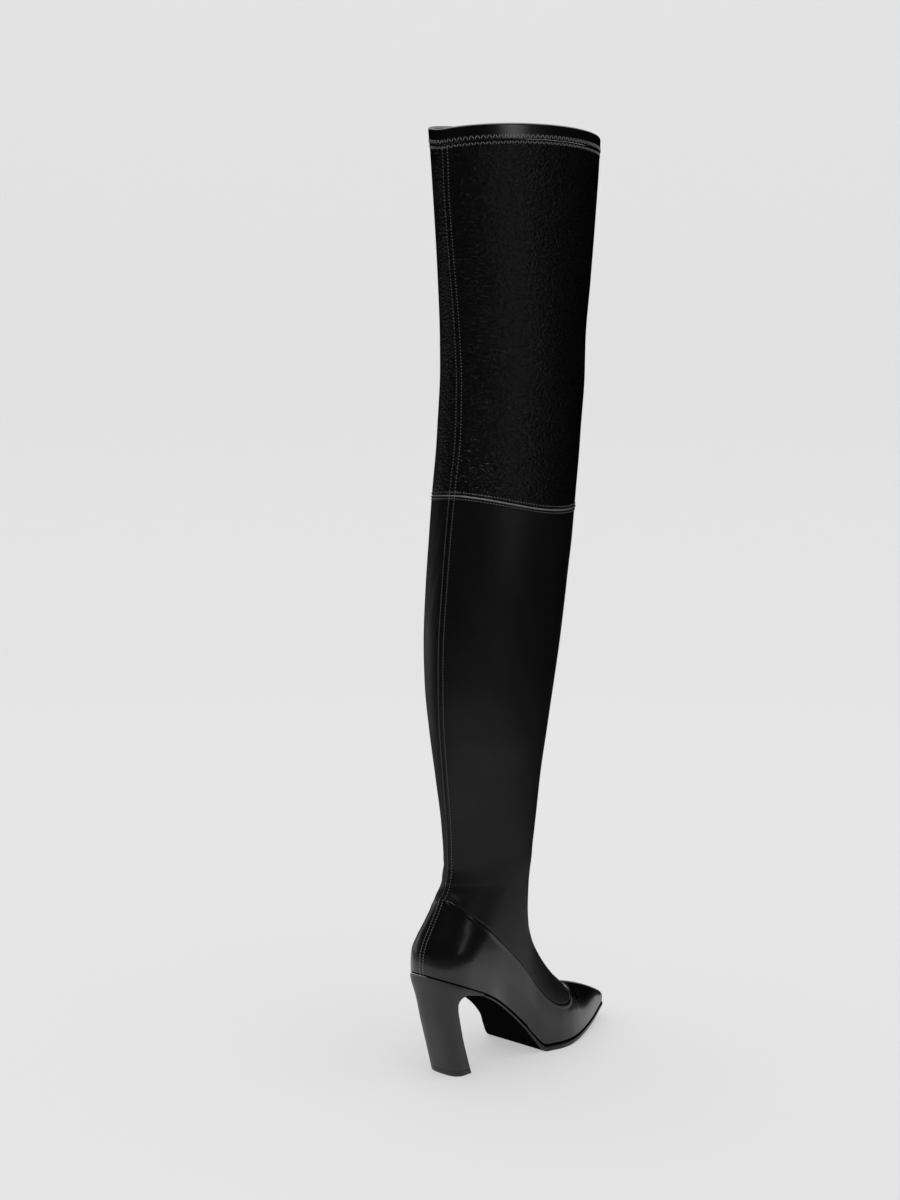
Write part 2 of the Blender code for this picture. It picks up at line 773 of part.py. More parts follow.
def heel_top_piece(material, collection):
    """Rubber lift that the heel stands on."""
    half = HEEL_BASE_WIDTH / 2
    first = HEEL[0]
    base_front = HEEL_BASE_SET + HEEL_BASE_DEPTH
    top_back = HEEL_BASE_SET * first[0]
    top_front = HEEL_SEAT_REACH * first[2]
    rings = [
        heel_ring((HEEL_BASE_SET, 0.0), (base_front, 0.0), half, half * first[5], first[6],
                  BREAST_HOLLOW),
        heel_ring((top_back, TOP_PIECE_THICKNESS), (top_front, TOP_PIECE_THICKNESS), half,
                  half * first[5], first[6], BREAST_HOLLOW),
    ]

    def build(shape):
        loops = loft_rings(shape, rings)
        cap_heel(shape, loops[0], False)
        cap_heel(shape, loops[1], True)

    return mesh_object("heel_top_piece", build, material, collection, 35.0)


def foot_upper(material, collection):
    """Smooth leather foot part, from the lasting edge to the ankle seam."""
    low = edge_line()
    high = shift_line(ankle_seam_line(), -SEAM_GAP / 2)
    rows = patch(
        low, high,
        back_between(low[0][1], high[0][1]),
        ridge_between(low[-1], high[-1]),
        FOOT_ROWS,
    )
    rings = [ring_of(row, row) for row in rows]
    return panel("foot_upper", rings, FOOT_WALL, material, collection)


def lower_shaft(material, collection):
    """Stretch leather leg, from the ankle seam to the knee seam."""
    low = shift_line(ankle_seam_line(), SEAM_GAP / 2)
    ankle = level_line(lambda share: ANKLE_FRONT_HEIGHT)
    rows = patch(
        low, ankle,
        back_between(low[0][1], ANKLE_FRONT_HEIGHT),
        ridge_between(low[-1], ankle[-1]),
        INSTEP_ROWS,
    )
    rings = [ring_of(row, row) for row in rows]
    for step in range(1, CALF_ROWS + 1):
        up = step / CALF_ROWS
        lines = []
        for side in (-1, 1):
            def height(share):
                seam = knee_seam_height(share, side) - SEAM_GAP / 2
                return ANKLE_FRONT_HEIGHT + (seam - ANKLE_FRONT_HEIGHT) * up
            lines.append(level_line(height))
        rings.append(ring_of(*lines))
    return panel("lower_shaft", rings, SHAFT_WALL, material, collection)


def upper_shaft(material, collection):
    """Stretch leather thigh panel, from the knee seam to the collar band."""
    rings = []
    for step in range(THIGH_ROWS + 1):
        up = step / THIGH_ROWS
        lines = []
        for side in (-1, 1):
            def height(share):
                seam = knee_seam_height(share, side) + SEAM_GAP / 2
                collar = rim_height(share, side, COLLAR_HEIGHT + SEAM_GAP)
                return seam + (collar - seam) * up
            lines.append(level_line(height))
        rings.append(ring_of(*lines))
    return panel("upper_shaft", rings, SHAFT_WALL, material, collection)


def collar_band(material, collection):
    """Folded band round the top edge, a little proud of the thigh panel."""
    rings = []
    for below in (COLLAR_HEIGHT, COLLAR_HEIGHT / 2, 0.0):
        outer = level_line(lambda share: rim_height(share, -1, below))
        inner = level_line(lambda share: rim_height(share, 1, below))
        ring = ring_of(outer, inner, COLLAR_PROUD)
        back_x, back_y, back_z = ring[0]
        front_x, front_y, front_z = ring[SIDE_COLUMNS]
        ring[0] = (back_x - COLLAR_PROUD, back_y, back_z)
        ring[SIDE_COLUMNS] = (front_x + COLLAR_PROUD, front_y, front_z)
        rings.append(ring)
    return panel("collar_band", rings, COLLAR_WALL, material, collection)


def leather(name, color, roughness):
    """Principled material for one of the boot's finishes."""
    material = bpy.data.materials.new(name)
    material.use_nodes = True
    shader = material.node_tree.nodes["Principled BSDF"]
    shader.inputs["Base Color"].default_value = (*color, 1.0)
    shader.inputs["Roughness"].default_value = roughness
    shader.inputs["Metallic"].default_value = 0.0
    return material


def main():
    clear_scene()
    collection = bpy.data.collections.new("thigh_high_boot")
    bpy.context.scene.collection.children.link(collection)
    heel_top_piece(leather("heel_rubber", (0.02, 0.02, 0.022), 0.6), collection)
    heel_block(leather("heel_leather", (0.03, 0.03, 0.032), 0.4), collection)
    outsole(leather("sole_leather", (0.012, 0.012, 0.013), 0.3), collection)
    insole(leather("insole_leather", (0.45, 0.44, 0.43), 0.7), collection)
    foot_upper(leather("foot_calf", (0.012, 0.012, 0.013), 0.3), collection)
    lower_shaft(leather("shaft_stretch_leather", (0.010, 0.010, 0.011), 0.42), collection)
    upper_shaft(leather("thigh_stretch_leather", (0.008, 0.008, 0.009), 0.45), collection)
    collar_band(leather("collar_leather", (0.010, 0.010, 0.011), 0.42), collection)


main()
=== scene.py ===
"""Thigh high stretch boot for the right foot: leather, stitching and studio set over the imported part.

The panels follow the same form as the part: a lasting edge, a back line, a ridge from toe to rim and a
half width between them, in millimetres from the back of the seat until a point is made.
"""
import math

import bmesh
import bpy
import numpy as np
from mathutils import Matrix, Vector

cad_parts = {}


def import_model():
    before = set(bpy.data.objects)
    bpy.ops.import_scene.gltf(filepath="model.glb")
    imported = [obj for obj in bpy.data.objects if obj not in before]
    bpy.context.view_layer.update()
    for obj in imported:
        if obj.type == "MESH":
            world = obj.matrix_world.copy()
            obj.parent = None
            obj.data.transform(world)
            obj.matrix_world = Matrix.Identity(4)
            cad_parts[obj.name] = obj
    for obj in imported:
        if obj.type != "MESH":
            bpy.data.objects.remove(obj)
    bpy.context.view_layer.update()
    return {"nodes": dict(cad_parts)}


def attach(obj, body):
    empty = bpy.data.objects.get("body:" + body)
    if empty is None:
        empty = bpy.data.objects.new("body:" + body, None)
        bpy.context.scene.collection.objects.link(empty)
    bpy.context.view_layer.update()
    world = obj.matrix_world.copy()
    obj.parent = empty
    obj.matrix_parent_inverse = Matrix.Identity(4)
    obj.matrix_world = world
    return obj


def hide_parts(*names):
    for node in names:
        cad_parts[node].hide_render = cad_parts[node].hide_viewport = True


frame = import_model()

bl_info = {
    "name": "Thigh High Boot",
    "version": (1, 0, 0),
    "blender": (4, 5, 0),
    "location": "View3D > Sidebar > Boot",
    "description": "Builds the leather, seams and studio of a thigh high boot",
    "category": "Object",
}

MM = 0.001

FOOT_LENGTH = 232.0
BALL_WIDTH = 73.0
HEEL_HEIGHT = 87.0
TOE_SPRING = 10.0
TOE_WALL_HEIGHT = 6.5
SOLE_THICKNESS = 5.2
BOOT_HEIGHT = 767.0
RIM_RISE = 12.0
RIM_BOW_OUTER = 2.0
RIM_BOW_INNER = 15.0
RIM_BOW_SQUARE = 0.7
COLLAR_HEIGHT = 12.0
KNEE_SEAM_HEIGHT = 474.0
KNEE_SEAM_DIP_OUTER = 11.5
KNEE_SEAM_DIP_INNER = 3.0
KNEE_SEAM_DIP_FRONT = 6.0
ANKLE_SEAM_HEIGHT = 145.2
ANKLE_SEAM_SET = 24.4
ANKLE_FRONT_HEIGHT = 170.0
THROAT_SHARE = 0.755
THROAT_DROP = 22.0
THIGH_DEPTH = 176.0
THIGH_WIDTH = 103.0
ANKLE_DEPTH = 93.3
SHAFT_LEAN = 22.4
HEEL_BASE_WIDTH = 34.2
HEEL_BASE_DEPTH = 17.6
HEEL_BASE_SET = 23.5
TOP_PIECE_THICKNESS = 4.7
HEEL_SEAT_REACH = 45.0
HEEL_LIP_THICKNESS = 1.6
SEAT_EDGE = 0.5
BREAST_HOLLOW = 1.4
FOOT_WALL = 1.8
SHAFT_WALL = 1.4
COLLAR_WALL = 2.2
COLLAR_PROUD = 0.4
LASTING_BAND = 2.5
SIDE_BULGE_RISE = 22.0
LEG_BLEND_START = 22.0
LEG_BLEND_TOP = 152.0
SEAT_ROUND = 28.0
SEAT_SQUARE = 2.2
COUNTER_ROUND_TOP = 125.0
TOE_ROUND = 7.0
FEATHER_INSET = 0.9
FEATHER_DEPTH = 0.9
SOLE_MARGIN = 0.4
GAP = 0.3
LEAST_GAP = 0.04
SEAM_GAP = 0.06
ORIGIN_X = HEEL_BASE_SET + HEEL_BASE_DEPTH / 2

# Lasting edge in plan: share of the foot length, middle line, half width, half width of the body above
PLAN = (
    (0.000, 0.000, 0.385, 0.405),
    (0.120, 0.000, 0.385, 0.406),
    (0.215, -0.010, 0.369, 0.400),
    (0.345, -0.021, 0.295, 0.378),
    (0.409, -0.003, 0.318, 0.397),
    (0.474, 0.034, 0.390, 0.438),
    (0.517, 0.044, 0.442, 0.473),
    (0.560, 0.033, 0.475, 0.493),
    (0.603, 0.019, 0.495, 0.507),
    (0.647, 0.014, 0.497, 0.505),
    (0.690, 0.017, 0.483, 0.489),
    (0.733, 0.026, 0.458, 0.460),
    (0.797, 0.041, 0.404, 0.404),
    (0.862, 0.058, 0.339, 0.339),
    (0.927, 0.075, 0.267, 0.267),
    (0.970, 0.086, 0.222, 0.222),
    (1.000, 0.090, 0.195, 0.195),
)

# Lasting edge in side view: share of the foot length, rise, toe spring taken up, outsole thickness
EDGE = (
    (0.000, 1.000, 0.00, 0.33),
    (0.086, 0.896, 0.00, 0.33),
    (0.172, 0.791, 0.00, 0.35),
    (0.237, 0.699, 0.00, 0.38),
    (0.302, 0.589, 0.00, 0.41),
    (0.366, 0.448, 0.00, 0.45),
    (0.409, 0.340, 0.00, 0.51),
    (0.440, 0.256, 0.00, 0.58),
    (0.472, 0.151, 0.00, 0.70),
    (0.507, 0.040, 0.00, 0.92),
    (0.530, 0.000, 0.00, 1.00),
    (0.616, 0.000, 0.00, 1.00),
    (0.681, 0.000, 0.08, 0.90),
    (0.776, 0.000, 0.26, 0.79),
    (0.884, 0.000, 0.50, 0.69),
    (0.950, 0.000, 0.75, 0.62),
    (1.000, 0.000, 1.00, 0.56),
)

# Back below the ankle seam: share of the way up from seat to ankle seam, share of the seam's set
COUNTER = (
    (0.00, 0.02),
    (0.13, 0.01),
    (0.27, 0.03),
    (0.45, 0.20),
    (0.64, 0.48),
    (0.83, 0.77),
    (1.00, 1.00),
)

# Shaft: share of the way up, set of the back, depth, width, lean to the outer side
SHAFT = (
    (0.000, 0.105, 0.000, 0.532, 0.03),
    (0.020, 0.133, 0.526, 0.532, 0.04),
    (0.040, 0.141, 0.530, 0.532, 0.05),
    (0.089, 0.136, 0.559, 0.578, 0.03),
    (0.153, 0.117, 0.607, 0.676, 0.01),
    (0.217, 0.095, 0.660, 0.800, 0.03),
    (0.281, 0.075, 0.713, 0.893, 0.08),
    (0.346, 0.068, 0.747, 0.955, 0.16),
    (0.410, 0.073, 0.762, 0.984, 0.24),
    (0.474, 0.084, 0.779, 0.992, 0.29),
    (0.526, 0.095, 0.783, 0.994, 0.32),
    (0.603, 0.111, 0.787, 0.982, 0.39),
    (0.667, 0.113, 0.797, 0.976, 0.49),
    (0.732, 0.100, 0.804, 0.975, 0.62),
    (0.812, 0.068, 0.863, 0.977, 0.77),
    (0.892, 0.033, 0.926, 0.986, 0.90),
    (0.981, -0.003, 0.993, 0.998, 0.99),
    (1.000, -0.010, 1.003, 1.000, 1.00),
)

# Ridge from toe to ankle front: share back, share up, rounding of the section below it, squareness
RIDGE = (
    (0.000, 0.000, 0.15, 3.2),
    (0.028, 0.016, 0.16, 3.2),
    (0.113, 0.047, 0.27, 3.0),
    (0.227, 0.079, 0.37, 2.8),
    (0.349, 0.105, 0.47, 2.6),
    (0.530, 0.138, 0.62, 2.4),
    (0.712, 0.225, 0.78, 2.3),
    (0.840, 0.323, 0.90, 2.15),
    (0.925, 0.416, 0.97, 2.05),
    (0.990, 0.505, 1.00, 2.0),
    (1.031, 0.598, 1.00, 2.0),
    (1.043, 0.696, 1.00, 2.0),
    (1.034, 0.838, 1.00, 2.0),
    (1.000, 1.000, 1.00, 2.0),
)

# Ankle seam down the side, then up round the throat: share forward, share down (then up)
SEAM_SIDE = (
    (0.000, 0.000),
    (0.044, 0.068),
    (0.216, 0.248),
    (0.391, 0.433),
    (0.589, 0.665),
    (0.694, 0.812),
    (0.781, 0.917),
    (0.875, 0.985),
    (0.953, 1.000),
)
SEAM_THROAT = (
    (0.990, 0.05),
    (1.016, 0.17),
    (1.025, 0.40),
    (1.014, 0.66),
    (1.000, 1.00),
)

# Heel, every 1/8 of the block up: back set, height share, front reach, height share, half width,
# rounding of the back corners, squareness
HEEL = (
    (0.000, 0.940, 0.000, 0.876, 0.000, 1.00, 0.75, 3.0),
    (0.125, 0.783, 0.146, 0.784, 0.141, 1.01, 0.76, 2.9),
    (0.250, 0.583, 0.341, 0.671, 0.317, 1.04, 0.78, 2.8),
    (0.375, 0.408, 0.512, 0.576, 0.488, 1.09, 0.80, 2.7),
    (0.500, 0.281, 0.671, 0.489, 0.634, 1.17, 0.84, 2.6),
    (0.625, 0.183, 0.805, 0.451, 0.720, 1.29, 0.88, 2.5),
    (0.750, 0.098, 0.902, 0.478, 0.772, 1.43, 0.92, 2.4),
    (0.875, 0.055, 0.951, 0.584, 0.794, 1.54, 0.95, 2.3),
    (1.000, 0.038, 0.976, 0.756, 0.778, 1.62, 0.97, 2.2),
)

# Back seam: height, distance from the back's middle to the inner side
BACK_SEAM = (
    (86.0, 0.5),
    (115.0, 0.8),
    (145.0, 1.2),
    (170.0, 1.3),
    (200.0, 1.1),
    (240.0, 0.2),
    (280.0, -0.3),
    (320.0, -1.8),
    (360.0, -2.2),
    (400.0, -2.7),
    (440.0, -3.1),
    (472.0, -3.9),
    (520.0, -5.1),
    (560.0, -3.7),
    (600.0, -1.5),
    (650.0, 0.4),
    (700.0, 1.4),
    (740.0, -0.2),
    (790.0, -0.4),
)

# Creases: arc from the back seam to the outer side, height, half length, width, depth, tilt in degrees
CALF_CREASES = (
    (-9.0, 152.0, 9.0, 1.5, 0.5, 52.0),
    (-13.0, 160.0, 10.0, 1.8, 0.5, 44.0),
    (-12.0, 172.0, 10.0, 2.0, 0.4, 34.0),
    (8.0, 150.0, 5.0, 1.2, 0.2, -30.0),
    (112.0, 178.0, 20.0, 6.0, 0.15, 10.0),
    (-9.0, 462.0, 12.0, 2.0, 0.4, 62.0),
    (-12.0, 448.0, 14.0, 2.2, 0.5, 56.0),
    (-16.0, 430.0, 16.0, 2.6, 0.4, 60.0),
    (-12.0, 408.0, 16.0, 2.8, 0.4, 66.0),
    (-18.0, 384.0, 18.0, 3.2, 0.3, 70.0),
    (14.0, 458.0, 14.0, 2.4, 0.25, -40.0),
)
THIGH_CREASES = (
    (-10.0, 486.0, 12.0, 2.0, 0.4, -52.0),
    (-14.0, 504.0, 14.0, 2.4, 0.4, -60.0),
    (-12.0, 530.0, 16.0, 2.8, 0.3, -66.0),
    (13.0, 488.0, 12.0, 2.0, 0.3, 34.0),
    (22.0, 500.0, 14.0, 2.6, 0.25, 26.0),
    (-16.0, 560.0, 18.0, 3.4, 0.3, -72.0),
)
FOOT_CREASES = (
    (7.0, 141.0, 6.5, 1.1, -0.8, -32.0),
    (6.0, 137.0, 5.0, 0.9, -0.5, -22.0),
)

# How finely the form is drawn. TURN_WEIGHT adds millimetres to a line for each radian that it turns,
# and points closer than MERGE_DISTANCE become one.
SIDE_SAMPLES = 140
RIDGE_SAMPLES = 240
LINE_SAMPLES = 400
TURN_WEIGHT = 20.0
FOOT_COLUMNS = 250
SHAFT_COLUMNS = 190
SEAM_COLUMNS = (0.0, 0.35, 0.7, 1.05, 1.4, 1.8, 2.3, 3.0, 3.9, 5.0, 6.5, 8.5)
MERGE_DISTANCE = 0.002

# Widths of the lines of another finish: painted shade along the feather at the sole, painted highlight on the
# rim's fold at the top, painted highlight on the roll at the knee
FEATHER_SHADE_LINE = 1.6
RIM_HIGHLIGHT_LINE = 0.85
ROLL_HIGHLIGHT_REACH = 1.5

# Collar: height and depth of the rounding at its fold, and of the turn at its low edge
FOLD_HEIGHT = 1.9
FOLD_DEPTH = 1.05
FOLD_TURN = 0.35

# Relief of the leather: tape over the foot's back seam, lap at the ankle seam, low edges tucked in,
# roll at the knee as a multiple of the ridge beside a seam, puckers down the back seam, creases
TAPE_RISE = 0.3
TAPE_HALF = 3.2
TAPE_EASE = 0.8
TAPE_NICK = 0.35
LAP_RISE = 0.3
LAP_WIDTH = 3.6
LAP_EASE = 1.2
EDGE_TUCK = 0.45
TUCK_HEIGHT = 1.5
TUCK_EASE = 0.5
ROLL_HEIGHT = 1.8
PUCKER_DEPTH = 0.12
PUCKER_LENGTH = 7.0
PUCKER_REACH = 4.0
CREASE_RIDGE = 0.45
CREASE_RIDGE_SET = 1.9
GROOVE_REACH = 0.5
TAPE_NICK_REACH = 0.4
LAP_NICK_REACH = 0.35
LEG_TUCK_REACH = 0.9

# Leather beside a seam, as swells: share of the height, distance from the seam, reach
TURNED_EDGE = (
    (1.0, 1.2, 0.65),
    (-0.5, 2.6, 0.5),
)
ROLLED_EDGE = (
    (1.0, 0.85, 0.55),
    (0.3, 3.2, 0.4),
    (-0.9, 0.0, 0.3),
)

# Stitch rows on the foot: distance from the back seam, spacing, length. At the knee: distance of the
# row above the seam and of the row below it.
COUNTER_ROW = 1.9
COUNTER_SPACING = 2.3
COUNTER_STITCH = 1.6
KNEE_THIGH_ROW = 2.0
KNEE_CALF_ROW = 3.2

# Stitch: lift of its middle and half its height, as shares of the thread's width
BEAD_LIFT = 0.15
BEAD_HEIGHT = 0.42

# Zigzag rows: panel, distance from its edge, whether that is the top edge, slant, spacing, length
ZIGZAG_ROWS = (
    ("collar", 2.3, False, 62.0, 2.3, 3.8),
    ("thigh", 2.2, True, 56.0, 2.3, 3.0),
)

# Outsole: strips along it, how far it stays behind the toe tip. Its edges and the heel's are shaded
# sharp past an angle in degrees.
SOLE_STRIPS = 111
SOLE_TOE_SET = 0.03
SOLE_SHARP_ANGLE = 40
HEEL_SHARP_ANGLE = 38

# Outsole's edge from the feather down: inset, share of the way down
SOLE_EDGE = (
    (FEATHER_INSET, 0.0),
    (-0.15, 0.0),
    (-0.35, 0.10),
    (-SOLE_MARGIN, 0.25),
    (-SOLE_MARGIN, 0.6),
    (-0.32, 0.8),
    (-0.1, 0.93),
    (0.35, 1.0),
)

# Lift's side from the floor up: inset, share of the way up
LIFT_EDGE = (
    (0.35, 0.0),
    (0.1, 0.035),
    (0.0, 0.1),
    (0.0, 0.93),
    (0.08, 0.98),
    (0.3, 1.0),
)

# Heel sections: how many, shares of the way from the back to the breast, and places across the
# breast, with the places of three columns in HEEL
HEEL_SECTIONS = 49
HEEL_HALF, HEEL_CORNER, HEEL_SQUARE = 5, 6, 7
HEEL_SHARES = 1 - np.cos(np.pi / 2 * np.arange(23) / 22)
BREAST_PLACES = np.linspace(-1, 1, 9)[1:-1]

# Rows of each panel, as shares of the way up it, closer together near its seams and edges. The
# collar's are millimetres below the rim.
FOOT_ROWS = np.concatenate([
    [0.0, 0.008, 0.016, 0.02, 0.026], np.linspace(0.04, 0.9, 38)[:-1], 1 - np.geomspace(0.1, 0.004, 12),
    [1.0]])
ANKLE_ROWS = np.concatenate([[0.0], np.geomspace(0.003, 0.05, 12), np.linspace(0.05, 1.0, 40)[1:]])
CALF_ROWS = np.concatenate([
    np.linspace(0, 0.97, 96)[1:], 1 - np.linspace(0.0266, 0.0126, 5), 1 - np.linspace(0.0114, 0.0004, 16),
    [1.0]])
THIGH_ROWS = np.concatenate([
    [0.0], np.geomspace(0.0012, 0.026, 12), np.linspace(0.026, 0.98, 90)[1:], [0.99, 1.0]])
COLLAR_ROWS = np.concatenate([
    COLLAR_HEIGHT - np.array([0, 0.15, 0.3, 0.5, 0.8, 1.2]), np.linspace(10, FOLD_HEIGHT, 9),
    FOLD_HEIGHT * np.array([0.7, 0.55, 0.42, 0.3, 0.2, 0.12, 0.06, 0.02, 0.0])])

# Finishes: refractive index, close to 1.5 for dressed leather, rubber and nylon alike, roughness of a
# clear coat, millimetres between rubbed patches, change of roughness at a speck, and the noise values
# that count as low and high
FINISH_IOR = 1.5
COAT_ROUGHNESS = 0.12
RUBBED_PATCH = 45.0
SPECK_SPREAD = 0.05
NOISE_LOW = 0.3
NOISE_HIGH = 0.7

# Studio: share of its tone that the floor gives off as light, then in metres the disc that the
# leather mirrors and the sweep round it, each with its number of parts, and the strength of the
# even light from all sides
FLOOR_GLOW = 0.5
FLOOR_RADIUS = 0.46
FLOOR_PARTS = 96
SWEEP_START = 3.0
SWEEP_ROUND = 0.8
SWEEP_PARTS = 12
SWEEP_TOP = 2.6
SKY_STRENGTH = 1.05

# Soft boxes: name, place, aim, width, height, watts, spread of the beam in degrees
SOFT_BOXES = (
    ("inner_soft_box", (-0.05, 1.5, 0.13), (0.0, 0.0, 0.2), 1.0, 0.46, 0.85, 180.0),
    ("outer_soft_box", (0.0, -2.2, 1.07), (0.0, 0.0, 0.7), 1.6, 0.5, 0.26, 34.0),
    ("top_soft_box", (0.05, 0.0, 2.4), (0.05, 0.0, 0.0), 1.0, 1.0, 30.0, 180.0),
)

# Camera: heading, tilt and roll in degrees, place in millimetres from below the back of the seat to
# its right, back and up, focal length in pixels of a picture so many pixels high, sensor's width
CAMERA_TURN = 47.4
CAMERA_TILT = 4.02
CAMERA_ROLL = 0.11
CAMERA_RIGHT = 22.01
CAMERA_BACK = 1300.03
CAMERA_UP = 482.03
FOCAL_PIXELS = 1643.32
PICTURE_HEIGHT = 1200
SENSOR_WIDTH = 36.0

# Finishes by name, and outer faces of the panels by name, once they are made
FINISHES = {}
SKINS = {}


def curve_through(table, column):
    """Monotone cubic through one column of a table, as a function of the first column."""
    places = np.array([row[0] for row in table])
    values = np.array([row[column] for row in table])
    steps = np.diff(places)
    slopes = np.diff(values) / steps
    tangents = np.zeros(len(places))
    tangents[0], tangents[-1] = slopes[0], slopes[-1]
    same = slopes[:-1] * slopes[1:] > 0
    sums = np.where(same, slopes[:-1] + slopes[1:], 1.0)
    tangents[1:-1] = np.where(same, 2 * slopes[:-1] * slopes[1:] / sums, 0.0)

    def value(at):
        at = np.clip(at, places[0], places[-1])
        index = np.clip(np.searchsorted(places, at, side="right") - 1, 0, len(steps) - 1)
        t = (at - places[index]) / steps[index]
        rise = (3 - 2 * t) * t * t
        bend = t * (1 - t) * steps[index]
        flat = values[index] * (1 - rise) + values[index + 1] * rise
        return flat + bend * ((1 - t) * tangents[index] - t * tangents[index + 1])

    return value


def columns_of(table):
    """One smooth function for each column after the first."""
    return [curve_through(table, column) for column in range(1, len(table[0]))]


def pick(at, marks, rows):
    """Rows of values that go with marks, read at other places between the marks."""
    return np.stack([np.interp(at, marks, column) for column in rows.T], axis=-1)


def swell(distance, centre, reach):
    """Bell of height 1 round a distance."""
    return np.exp(-((distance - centre) / reach) ** 2)


def smooth_step(value):
    """Ease from 0 to 1."""
    value = np.clip(value, 0.0, 1.0)
    return value * value * (3 - 2 * value)


def rounding(depth, square):
    """Share of the full half width at a depth, in roundings, below an edge."""
    inside = np.clip(1 - np.clip(depth, 0.0, 1.0), 0.0, 1.0)
    return np.maximum(0.0, 1 - inside ** square) ** (1 / square)


plan_middle, plan_half, plan_body = columns_of(PLAN)
edge_rise, edge_spring, edge_thickness = columns_of(EDGE)
counter_set = curve_through(COUNTER, 1)
shaft_back, shaft_depth, shaft_width, shaft_lean = columns_of(SHAFT)
back_seam = curve_through(BACK_SEAM, 1)


def edge_height(x):
    """Height of the lasting edge, where the upper meets the sole."""
    share = x / FOOT_LENGTH
    tread = SOLE_THICKNESS + GAP
    return tread + (HEEL_HEIGHT - tread) * edge_rise(share) + TOE_SPRING * edge_spring(share)


def shaft_share(z):
    """Share of the way up from the ankle seam to the rim."""
    return (z - ANKLE_SEAM_HEIGHT) / (BOOT_HEIGHT - ANKLE_SEAM_HEIGHT)


def back_line(z):
    """Set of the back of the boot at a height."""
    share = shaft_share(z)
    second = SHAFT[1]
    counter = ANKLE_SEAM_SET * counter_set((z - HEEL_HEIGHT) / (ANKLE_SEAM_HEIGHT - HEEL_HEIGHT))
    turn = np.sin(np.pi / 2 * np.clip(share / second[0], 0, 1))
    ankle = ANKLE_SEAM_SET + (FOOT_LENGTH * second[1] - ANKLE_SEAM_SET) * turn
    shaft = FOOT_LENGTH * shaft_back(np.maximum(share, 0.0))
    return np.where(share < 0, counter, np.where(share < second[0], ankle, shaft))


def half_depth(z):
    """Half the shaft's depth, and the rounding of the back below it."""
    share = smooth_step((z - HEEL_HEIGHT) / (COUNTER_ROUND_TOP - HEEL_HEIGHT))
    low = SEAT_ROUND + (ANKLE_DEPTH / 2 - SEAT_ROUND) * share
    return np.where(z >= ANKLE_FRONT_HEIGHT, THIGH_DEPTH * shaft_depth(shaft_share(z)) / 2, low)


def ridge_points():
    """Ridge in side view from the lasting edge at the toe to the rim: x, z, rounding, squareness."""
    toe_z = float(edge_height(FOOT_LENGTH))
    ankle_x = float(back_line(ANKLE_FRONT_HEIGHT)) + ANKLE_DEPTH
    start = np.array([FOOT_LENGTH, toe_z + TOE_WALL_HEIGHT])
    reach = np.array([ankle_x, ANKLE_FRONT_HEIGHT]) - start
    lengths = [0.0]
    for row, after in zip(RIDGE, RIDGE[1:]):
        lengths.append(lengths[-1] + math.dist(reach * row[:2], reach * after[:2]))
    back, up, depth, square = columns_of([(length,) + row for length, row in zip(lengths, RIDGE)])
    points = [(FOOT_LENGTH, toe_z, TOE_ROUND, RIDGE[0][3])]
    for step in range(RIDGE_SAMPLES + 1):
        at = lengths[-1] * step / RIDGE_SAMPLES
        x, z = start + reach * np.array([back(at), up(at)])
        points.append((x, z, ANKLE_DEPTH / 2 * depth(at), square(at)))
    for step in range(1, RIDGE_SAMPLES + 1):
        z = ANKLE_FRONT_HEIGHT + (BOOT_HEIGHT - ANKLE_FRONT_HEIGHT) * step / RIDGE_SAMPLES
        share = smooth_step((z - ANKLE_FRONT_HEIGHT) / ANKLE_DEPTH)
        full = back_line(z) + 2 * half_depth(z)
        thin = back_line(z) + ANKLE_DEPTH * half_depth(z) / half_depth(ANKLE_FRONT_HEIGHT)
        points.append((thin + (full - thin) * share, z, half_depth(z), RIDGE[-1][3]))
    return np.array(points, float)


RIDGE_LINE = ridge_points()


def front_line(z):
    """Set of the front of the shaft at a height above the ankle's front."""
    shaft = RIDGE_LINE[RIDGE_SAMPLES + 1:]
    return np.interp(z, shaft[:, 1], shaft[:, 0])


def ridge_at_x(x):
    """Height of the ridge over the vamp at a distance from the seat."""
    vamp = RIDGE_LINE[1:RIDGE_SAMPLES // 2 + 1]
    return float(np.interp(-x, -vamp[:, 0], vamp[:, 1]))


def nearest_on_ridge(x, z):
    """Distances to the ridge, the nearest stretches of it and the shares of the way along those."""
    starts = RIDGE_LINE[:-1, :2]
    runs = RIDGE_LINE[1:, :2] - starts
    away = np.stack([x, z], axis=-1)[:, None, :] - starts
    shares = np.clip((away * runs).sum(axis=2) / (runs * runs).sum(axis=1), 0.0, 1.0)
    gaps = away - runs * shares[:, :, None]
    distances = np.hypot(gaps[:, :, 0], gaps[:, :, 1])
    nearest = distances.argmin(axis=1)
    rows = np.arange(len(nearest))
    return distances[rows, nearest], nearest, shares[rows, nearest]


def leg_share(x, z):
    """How far a place belongs to the leg, and not to the foot."""
    start = edge_height(x) + LEG_BLEND_START
    return smooth_step((z - start) / (LEG_BLEND_TOP - start))


def middle_line(x, z):
    """Distance of the boot's middle to the inner side."""
    foot = BALL_WIDTH * plan_middle(x / FOOT_LENGTH)
    leg = -SHAFT_LEAN * shaft_lean(shaft_share(z))
    return foot + (leg - foot) * leg_share(x, z)


